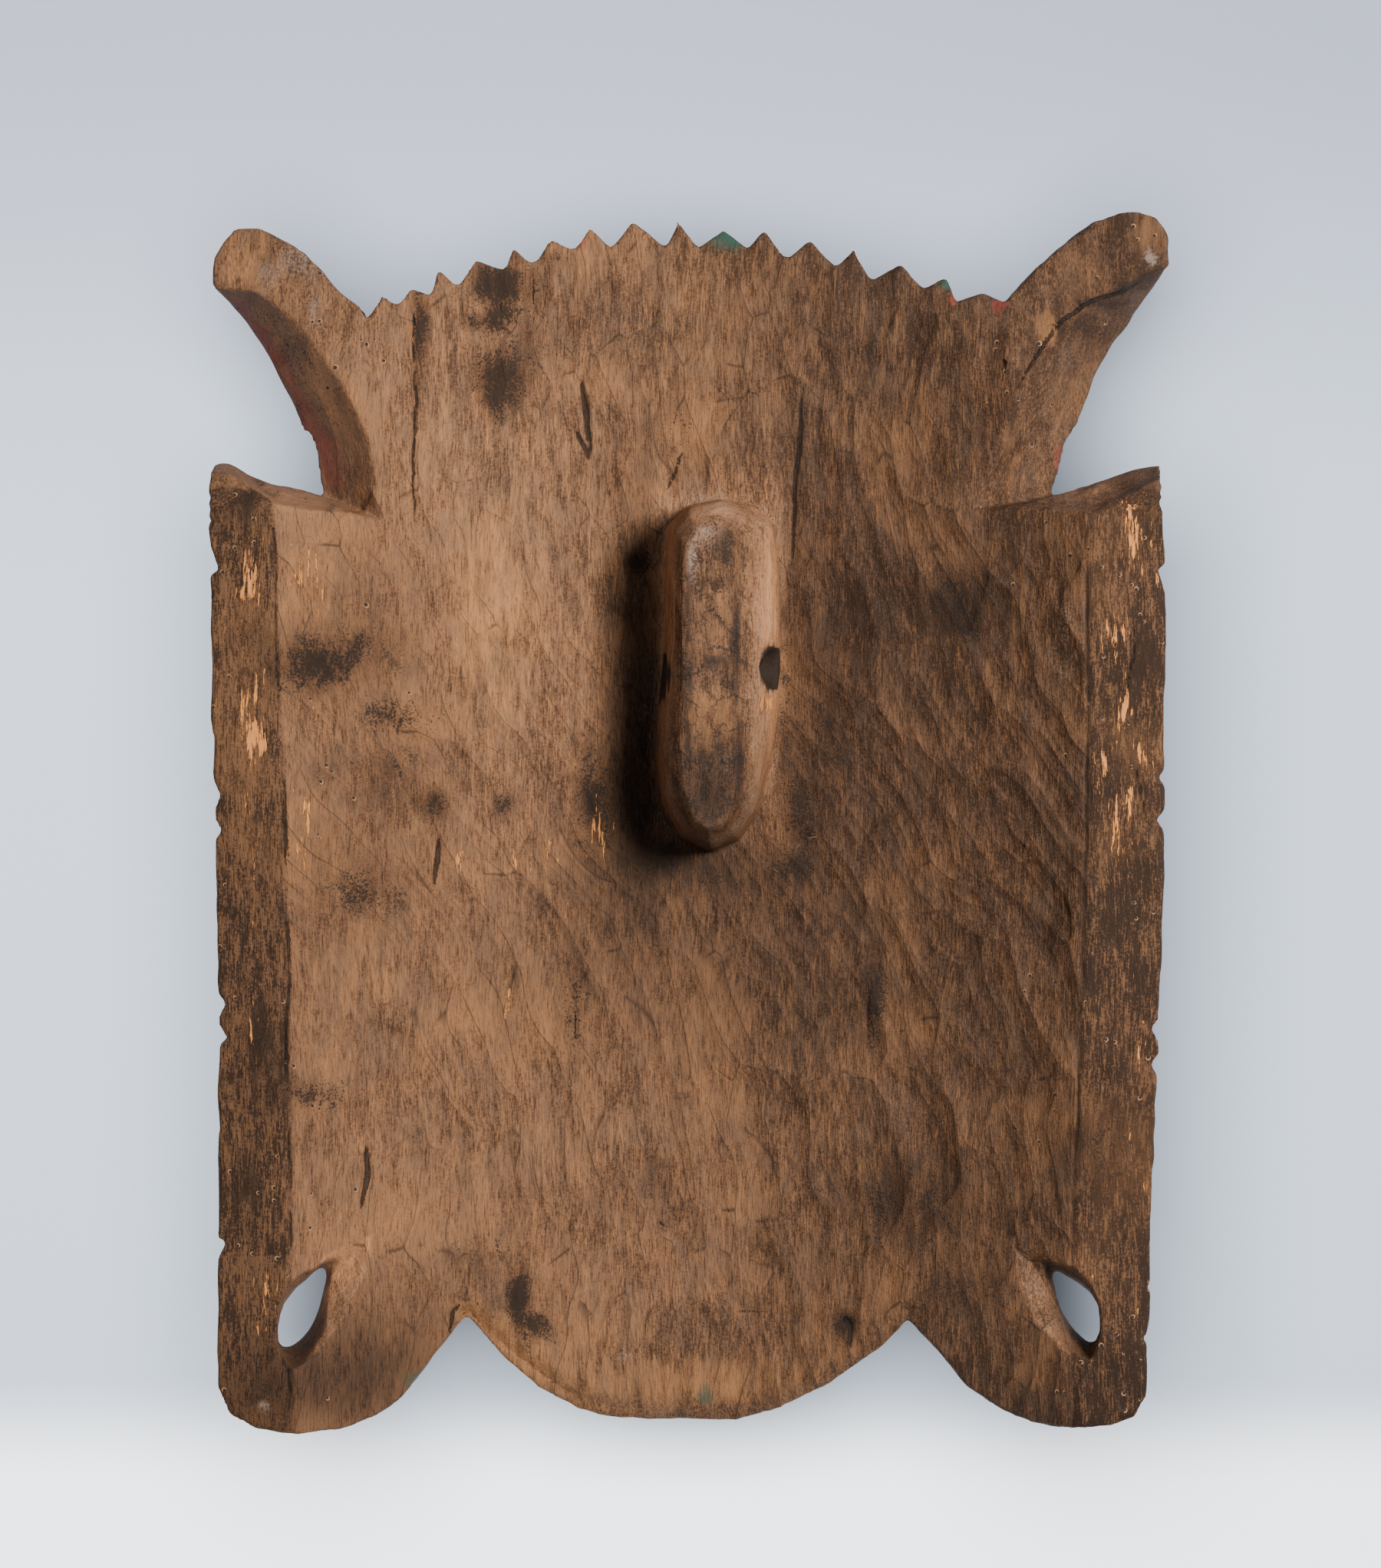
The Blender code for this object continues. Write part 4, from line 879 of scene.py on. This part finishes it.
def wood_material(finish, sizes):
    """Old tan to brown wood with fibres, soot, rubbed and bare places, and worn paint in front."""
    material, weave, shader = new_material('old_wood', 0.7)
    shader.inputs['Specular IOR Level'].default_value = 0.20
    times, add, step, centred = weave.times, weave.add, weave.step, weave.centred

    def colour(name):
        return (*getattr(finish, name), 1.0)

    def mask(name):
        return weave.node('ShaderNodeAttribute', attribute_name=name).outputs['Fac']

    def lay(wood, name, layer, *shares):
        return weave.mix(times(*shares, COVER[layer]), wood, colour(name))

    metres = weave.node('ShaderNodeTexCoord').outputs['Object']
    place = weave.vector('SCALE', metres, scale=1000.0)
    fibres = weave.node('ShaderNodeGroup', {'Place': place}, node_tree=fibre_group())
    fine, coarse, dashes, flakes = (fibres.outputs[name] for name in ('Fine', 'Coarse', 'Dashes', 'Flakes'))
    strokes = weave.node('ShaderNodeGroup', {'Place': metres}, node_tree=stroke_group(sizes))
    small = weave.node('ShaderNodeGroup', {
        'Place': metres, 'Width': 0.36 * sizes.gouge_width, 'Length': 0.50 * sizes.gouge_length},
        node_tree=strokes.node_tree, label='small strokes')
    patches = weave.noise(place, scale=0.016, detail=3.0, roughness=0.55)
    blots = weave.noise(weave.vector('MULTIPLY', place, (1.0, 0.7, 1.0)), scale=0.060, detail=7.0,
                        roughness=0.70, distortion=0.6, offset=11.0)
    speckle = weave.noise(place, scale=0.75, detail=4.0, roughness=0.7, offset=23.0)
    off_lug = weave.math('SUBTRACT', 1.0, mask('lug'))
    off_flange = weave.math('SUBTRACT', 1.0, times(mask('flange'), 0.6))
    gouged = mask('gouged')

    # The wood itself: grain, worn and greyed fibres, each gouge facet a little lighter or darker, partly dirt
    # and partly painted shading of its slant, and broad light and dark that holds painted shadow and light
    # besides the wood's own tone
    grain = add(centred(coarse, 1.2), centred(blots, 0.95), centred(fine, 2.2), centred(speckle, 1.9),
                centred(strokes.outputs['Lot'], gouged, 0.16), centred(small.outputs['Lot'], gouged, 0.22))
    tone = add(mask('tone'), centred(patches, 1.2), times(grain, add(1.0, times(mask('flange'), 1.25))))
    wood = weave.mix(step(tone, -0.15, 1.10), colour('brown'), colour('tan'))
    rub = step(add(mask('rubbed'), centred(coarse, 1.3), centred(blots, 1.2)), 0.30, 1.0)
    wood = lay(wood, 'rubbed', 'rubbed', rub)
    grey = step(add(blots, centred(speckle, 0.7)), 0.43, 0.64)
    wood = lay(wood, 'grey', 'grey', grey, off_lug, off_flange)
    wood = lay(wood, 'rubbed', 'patches', step(patches, 0.50, 0.72), off_lug)
    dark = step(fine, 0.50, 0.30)
    wood = lay(wood, 'brown', 'dark fibres', dark)
    light = step(add(fine, centred(coarse, 0.5)), 0.56, 0.74)
    wood = lay(wood, 'rubbed', 'light fibres', light, add(1.0, times(mask('flange'), 0.6)))
    # Scales the wood by the broad light and dark spots, which hold painted shadow and painted light besides the
    # wood's own broad tone
    wood = weave.vector('SCALE', wood, scale=weave.math('POWER', 2.0, mask('patina_and_painted_light')))
    wood = lay(wood, 'brown', 'dashes', step(dashes, 0.66, 0.74))

    # What lies on it: soot, dust, flaked places and cracks, with painted shade at the stroke edges and at the
    # mouths of the lug's hole
    soot = add(times(mask('soot'), 1.15), centred(speckle, 2.4), centred(blots, 2.2), centred(fine, 1.6))
    wood = lay(wood, 'brown', 'smoke', step(soot, 0.0, 0.9), step(mask('soot'), 0.0, 0.5))
    wood = lay(wood, 'soot', 'soot', step(soot, 0.50, 0.76), step(mask('soot'), 0.05, 0.30))
    dust = add(mask('pale_dust'), centred(speckle, 1.2), centred(blots, 0.8))
    wood = lay(wood, 'dust', 'dust', step(dust, 0.36, 1.0))
    # Thin dark lines along one side of each gouge facet, large and small: painted shade where one facet steps
    # into the next
    wood = lay(wood, 'soot', 'stroke edges', strokes.outputs['Edge'], gouged, step(patches, 0.36, 0.58))
    wood = lay(wood, 'brown', 'small edges', small.outputs['Edge'], gouged, step(blots, 0.44, 0.60))
    flake = add(times(mask('bare'), 0.34), flakes, centred(fine, 0.16))
    bare = times(step(flake, 0.815, 0.84), step(mask('bare'), 0.05, 0.2))
    wood = weave.mix(bare, wood, colour('bare'))
    cracks = step(add(mask('crack'), centred(fine, 1.3), centred(speckle, 0.8)), 0.36, 0.70)
    wood = lay(wood, 'soot', 'cracks', cracks)
    wood = lay(wood, 'soot', 'crackle', mask('crown'), crown_crackle(weave, place))
    # The mouths of the lug's cross hole are painted near black: painted shade for the hole's depth
    wood = lay(wood, 'soot', 'painted hole shade', step(mask('painted_hole_shade'), 0.3, 0.9))

    # Traces of paint on the back, and the worn paint of the front
    wood = lay(wood, 'green', 'green trace', mask('green_trace'))
    stain = step(add(mask('red_trace'), centred(coarse, 1.4)), 0.2, 0.9)
    wood = lay(wood, 'red', 'red trace', stain, step(mask('red_trace'), 0.02, 0.2))
    wear = add(times(coarse, 0.45), times(blots, 0.35), times(fine, 0.2))
    paint_cover = []
    paint_tree = worn_paint_group()
    for name, amount in PAINT_AMOUNTS.items():
        film = weave.node('ShaderNodeGroup', {'Area': mask(name), 'Wear': wear, 'Amount': amount},
                          node_tree=paint_tree, label=name)
        wood = weave.mix(film.outputs['Mask'], wood, colour(name))
        paint_cover.append(film.outputs['Mask'])
    painted = add(*paint_cover)
    dirt = step(add(fine, centred(blots, 0.8)), 0.56, 0.36)
    wood = lay(wood, 'brown', 'dirt', dirt, weave.math('MINIMUM', painted, 1.0))
    weave.feed(shader.inputs['Base Color'], wood)

    rough = add(0.70, times(dark, 0.14), times(grey, 0.12), times(mask('crown'), -0.16), times(painted, -0.06))
    weave.feed(shader.inputs['Roughness'], rough)
    relief = add(times(fine, 0.30), times(coarse, 0.34), times(dashes, 0.12),
                 times(speckle, add(0.32, times(mask('soot'), 0.5))),
                 times(strokes.outputs['Height'], gouged, 0.55), times(small.outputs['Height'], gouged, 0.30),
                 times(bare, -0.35), times(cracks, -0.9))
    bump = weave.node('ShaderNodeBump', {'Strength': 1.0, 'Distance': 0.0016, 'Height': relief})
    weave.feed(shader.inputs['Normal'], bump.outputs[0])
    return material


def crown_crackle(weave, place):
    """Fine dark lines of the lug's worn top."""
    x, y, _ = weave.split(place)
    bent, slip = (weave.centred(weave.noise(place, scale=0.15, detail=5.0, roughness=0.7, offset=offset), 22.0)
                  for offset in (0.0, 5.0))
    net = weave.join(weave.times(weave.add(x, bent), 0.075), weave.times(weave.add(y, slip), 0.060), 0.0)
    lines = weave.cells(net, 'DISTANCE_TO_EDGE', 1.0).outputs['Distance']
    here = weave.step(weave.noise(place, scale=0.09, detail=3.0, offset=41.0), 0.34, 0.48)
    return weave.times(weave.step(lines, 0.080, 0.0), here)


def add_object(name, mesh):
    thing = bpy.data.objects.new(name, mesh)
    bpy.context.scene.collection.objects.link(thing)
    return thing


def placed_tree(name, density_mask, parts_of):
    """Geometry nodes that scatter one small form over the wood where a mask is high."""
    tree, weave, given, result = group_tree(
        name, 'GeometryNodeTree',
        [('Wood', 'NodeSocketGeometry', None), ('Density', 'NodeSocketFloat', 1000.0),
         ('Size', 'NodeSocketFloat', 0.001), ('Seed', 'NodeSocketInt', 1)],
        [('Pieces', 'NodeSocketGeometry')])
    dense = weave.times(wood_mask(weave, density_mask), given.outputs['Density'])
    points = weave.node('GeometryNodeDistributePointsOnFaces',
                        {'Mesh': given.outputs['Wood'], 'Density': dense, 'Seed': given.outputs['Seed']})
    weave.feed(result.inputs[0], parts_of(weave, given, points))
    return tree


def random_value(weave, kind, low, high, seed):
    """A random value for each point, between low and high."""
    lot = weave.node('FunctionNodeRandomValue', data_type=kind)
    for socket in lot.inputs:
        if socket.enabled and socket.name in {'Min', 'Max', 'Seed'}:
            socket.default_value = {'Min': low, 'Max': high, 'Seed': seed}[socket.name]
    return next(socket for socket in lot.outputs if socket.enabled)


def scattered(weave, points, form, size_range, rotation, material, seed):
    """One form on every point, each a little larger or smaller, as real mesh with its material."""
    placed = weave.node('GeometryNodeInstanceOnPoints', {
        'Points': points.outputs['Points'], 'Instance': form, 'Rotation': rotation,
        'Scale': random_value(weave, 'FLOAT', *size_range, seed)})
    real = weave.node('GeometryNodeRealizeInstances', {'Geometry': placed.outputs[0]})
    return weave.node('GeometryNodeSetMaterial', {'Geometry': real.outputs[0], 'Material': material}).outputs[0]


def hole_parts(rim, dark):
    """The pale rim and the dark mouth of a beetle's flight hole; the mouth is a small near-black cone of
    painted shade standing in for the hole's depth.
    """
    def build(weave, given, points):
        parts = []
        for share, lift, aside, material in ((0.68, 0.00003, 0.0, rim), (0.52, 0.00012, 0.0002, dark)):
            cone = weave.node('GeometryNodeMeshCone', {
                'Vertices': 8, 'Radius Top': weave.times(given.outputs['Size'], share * 0.92),
                'Radius Bottom': weave.times(given.outputs['Size'], share), 'Depth': lift + 0.0003})
            sunk = weave.node('GeometryNodeTransform', {'Geometry': cone.outputs['Mesh'],
                                                        'Translation': (aside, aside, -0.0003)})
            parts.append(scattered(weave, points, sunk.outputs[0], (0.7, 1.25), points.outputs['Rotation'],
                                   material, 4))
        both = weave.node('GeometryNodeJoinGeometry')
        for part in parts:
            weave.tree.links.new(part, both.inputs[0])
        return both.outputs[0]
    return build


def fibre_parts(material):
    """Thin bent hairs of wood that lean in every direction."""
    def build(weave, given, points):
        size = given.outputs['Size']
        hair = weave.node('GeometryNodeCurveQuadraticBezier', {
            'Resolution': 4, 'Start': (0.0, 0.0, -0.0004),
            'Middle': weave.join(0.0, 0.0, weave.times(size, 0.55)),
            'End': weave.join(weave.times(size, 0.75), weave.times(size, 0.2), weave.times(size, 0.5))})
        ring = weave.node('GeometryNodeCurvePrimitiveCircle', {'Resolution': 3, 'Radius': 0.00009})
        tube = weave.node('GeometryNodeCurveToMesh', {
            'Curve': hair.outputs[0], 'Profile Curve': ring.outputs[0], 'Fill Caps': True})
        turn = random_value(weave, 'FLOAT_VECTOR', (-0.5, -0.5, 0.0), (0.5, 0.5, 6.28), 9)
        turned = weave.node('FunctionNodeRotateRotation', {
            'Rotation': points.outputs['Rotation'], 'Rotate By': turn}, rotation_space='LOCAL')
        return scattered(weave, points, tube.outputs[0], (0.35, 1.0), turned.outputs[0], material, 6)
    return build


def scatter_piece(name, wood, tree, values):
    """A piece of small forms over the carved wood, as plain mesh."""
    thing = add_object(name, wood.data.copy())
    thing.data.materials.clear()
    node_modifier(thing, tree, values)
    mesh = applied(thing)
    extra = [layer.name for layer in mesh.attributes
             if not layer.is_required and not layer.name.startswith('.')
             and layer.name not in {'material_index', 'sharp_face', 'sharp_edge'}]
    for layer_name in extra:
        mesh.attributes.remove(mesh.attributes[layer_name])
    mesh.name = name
    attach(thing, "root")


class MASK_OT_carve_wood(Operator):
    """Carve the wood: tool marks, cracks, knots and wear on a fine copy of the solid"""
    bl_idname = "mask.carve_wood"
    bl_label = "Carve wood"

    def execute(self, context):
        sizes = context.scene.mask_sizes
        work = bmesh.new()
        work.from_mesh(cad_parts["mask"].data)
        bmesh.ops.remove_doubles(work, verts=work.verts, dist=1e-5)
        mesh = bpy.data.meshes.new('carved_wood')
        work.to_mesh(mesh)
        work.free()
        wood = add_object('carved_wood', mesh)
        remesh = wood.modifiers.new('fine', 'REMESH')
        remesh.mode = 'VOXEL'
        remesh.voxel_size = sizes.voxel
        smooth = wood.modifiers.new('worn', 'SMOOTH')
        smooth.factor = 0.5
        smooth.iterations = 3
        carve_surface(applied(wood))
        node_modifier(wood, tool_mark_tree(), {
            'Width': sizes.gouge_width, 'Length': sizes.gouge_length, 'Depth': sizes.gouge_depth,
            'Slant': sizes.stroke_shift, 'Reach': sizes.stroke_reach})
        mesh = applied(wood)
        mesh.calc_loop_triangles()
        thin = wood.modifiers.new('thin', 'DECIMATE')
        thin.ratio = min(1.0, sizes.triangles / len(mesh.loop_triangles))
        mesh = applied(wood)
        mesh.name = 'carved_wood'
        mesh.shade_smooth()
        finish_masks(mesh)
        mesh.materials.clear()
        mesh.materials.append(wood_material(context.scene.mask_finish, sizes))
        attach(wood, "root")
        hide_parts("mask")
        return {'FINISHED'}


class MASK_OT_beetle_holes(Operator):
    """Scatter the flight holes of wood beetles over the flanges, horns and sides"""
    bl_idname = "mask.beetle_holes"
    bl_label = "Beetle holes"

    def execute(self, context):
        sizes = context.scene.mask_sizes
        finish = context.scene.mask_finish
        rim, _, _ = new_material('hole_rim', 0.8, finish.rubbed)
        # The near-black material of the holes' mouths is painted shade, as the holes are not cut into the wood
        dark, _, _ = new_material('painted_hole_shade', 0.9, finish.soot)
        tree = placed_tree('beetle_holes', 'eaten', hole_parts(rim, dark))
        scatter_piece('beetle_holes', bpy.data.objects['carved_wood'], tree, {
            'Density': sizes.hole_density, 'Size': sizes.hole_width, 'Seed': 3})
        return {'FINISHED'}


class MASK_OT_loose_fibres(Operator):
    """Raise loose fibres round the root of the lug"""
    bl_idname = "mask.loose_fibres"
    bl_label = "Loose fibres"

    def execute(self, context):
        sizes = context.scene.mask_sizes
        hair, _, _ = new_material('loose_fibre', 0.75, context.scene.mask_finish.dust)
        tree = placed_tree('loose_fibres', 'fuzz', fibre_parts(hair))
        scatter_piece('loose_fibres', bpy.data.objects['carved_wood'], tree, {
            'Density': sizes.fibre_density, 'Size': sizes.fibre_length, 'Seed': 5})
        return {'FINISHED'}


def aimed(thing, place, target):
    """Puts a light at a place, turned towards a target."""
    thing.location = place
    away = np.array(place) - np.array(target)
    thing.rotation_euler = (math.atan2(math.hypot(away[0], away[1]), away[2]), 0.0,
                            math.atan2(away[0], -away[1]))


def area_light(name, power, size, place, target, colour=(1.0, 1.0, 1.0)):
    lamp = bpy.data.lights.new(name, 'AREA')
    lamp.shape = 'DISK'
    lamp.energy = power
    lamp.size = size
    lamp.color = colour
    thing = bpy.data.objects.new(name, lamp)
    bpy.context.scene.collection.objects.link(thing)
    aimed(thing, place, target)
    return thing


def lights_for(lamp, thing, state):
    """Makes a light reach one thing alone, or all but that thing."""
    group = bpy.data.collections.new(lamp.name + '_reach')
    group.objects.link(thing)
    group.collection_objects[0].light_linking.link_state = state
    lamp.light_linking.receiver_collection = group


class MASK_OT_stage(Operator):
    """Set the pale floor, the soft light and the camera that looks down on the mask"""
    bl_idname = "mask.stage"
    bl_label = "Floor, light and camera"

    def execute(self, context):
        stage = context.scene.mask_stage
        work = bmesh.new()
        bmesh.ops.create_grid(work, x_segments=8, y_segments=8, size=FLOOR_HALF)
        mesh = bpy.data.meshes.new('floor')
        work.to_mesh(mesh)
        work.free()
        floor = add_object('floor', mesh)
        material, weave, shader = new_material('pale_floor', 0.6)
        # The floor's colour changes along Y: darker above the mask as painted falloff of light, and pale in a
        # band below
        _, y, _ = weave.split(weave.node('ShaderNodeTexCoord').outputs['Object'])
        backdrop = weave.mix(weave.step(y, 0.10, 0.45), (*stage.floor_middle, 1.0), (*stage.floor_top, 1.0))
        weave.feed(shader.inputs['Base Color'], weave.mix(
            weave.step(y, -0.365, -0.300), (*stage.floor_low, 1.0), backdrop))
        mesh.materials.append(material)

        flat = KEY_REACH * math.sin(stage.key_angle)
        key_place = (flat * math.cos(KEY_TURN), flat * math.sin(KEY_TURN),
                     AIM[2] + KEY_REACH * math.cos(stage.key_angle))
        key = area_light('key', stage.key_power, KEY_SIZE, key_place, AIM, (1.0, 0.965, 0.92))
        area_light('fill', stage.fill_power, FILL_SIZE, FILL_PLACE, AIM, (0.93, 0.96, 1.0))
        wash = area_light('floor_wash', stage.wash_power, WASH_SIZE, WASH_PLACE, (*WASH_PLACE[:2], 0.0),
                          (0.96, 0.98, 1.0))
        lights_for(wash, floor, 'INCLUDE')
        lights_for(key, floor, 'EXCLUDE')
        world = bpy.data.worlds.new('room')
        world.use_nodes = True
        sky = world.node_tree.nodes['Background']
        sky.inputs['Color'].default_value = ROOM_COLOUR
        sky.inputs['Strength'].default_value = stage.room
        context.scene.world = world

        lens = bpy.data.cameras.new('camera')
        lens.lens = CAMERA_LENS
        lens.sensor_width = SENSOR
        lens.sensor_fit = 'HORIZONTAL'
        lens.clip_end = 30.0
        camera = bpy.data.objects.new('camera', lens)
        context.scene.collection.objects.link(camera)
        camera.location = (*CAMERA_PLACE, SCALE_LEVEL + CAMERA_ABOVE)
        context.scene.camera = camera
        return {'FINISHED'}


class MASK_PT_panel(Panel):
    """Lists the steps that make the mask"""
    bl_idname = "MASK_PT_panel"
    bl_label = "Carved mask"
    bl_space_type = 'VIEW_3D'
    bl_region_type = 'UI'
    bl_category = "Mask"

    def draw(self, context):
        for operator in (MASK_OT_stage, MASK_OT_carve_wood, MASK_OT_beetle_holes, MASK_OT_loose_fibres):
            self.layout.operator(operator.bl_idname)
        for settings in (context.scene.mask_sizes, context.scene.mask_finish, context.scene.mask_stage):
            box = self.layout.box()
            for name in settings.bl_rna.properties.keys():
                if name not in {'rna_type', 'name'}:
                    box.prop(settings, name)


CLASSES = (MaskSizes, MaskFinish, StageSettings, MASK_OT_stage, MASK_OT_carve_wood,
           MASK_OT_beetle_holes, MASK_OT_loose_fibres, MASK_PT_panel)


def register():
    for item in CLASSES:
        bpy.utils.register_class(item)
    bpy.types.Scene.mask_sizes = PointerProperty(type=MaskSizes)
    bpy.types.Scene.mask_finish = PointerProperty(type=MaskFinish)
    bpy.types.Scene.mask_stage = PointerProperty(type=StageSettings)


def unregister():
    del bpy.types.Scene.mask_stage
    del bpy.types.Scene.mask_finish
    del bpy.types.Scene.mask_sizes
    for item in reversed(CLASSES):
        bpy.utils.unregister_class(item)


def main():
    register()
    bpy.ops.mask.stage()
    bpy.ops.mask.carve_wood()
    bpy.ops.mask.beetle_holes()
    bpy.ops.mask.loose_fibres()


if __name__ == "__main__":
    main()
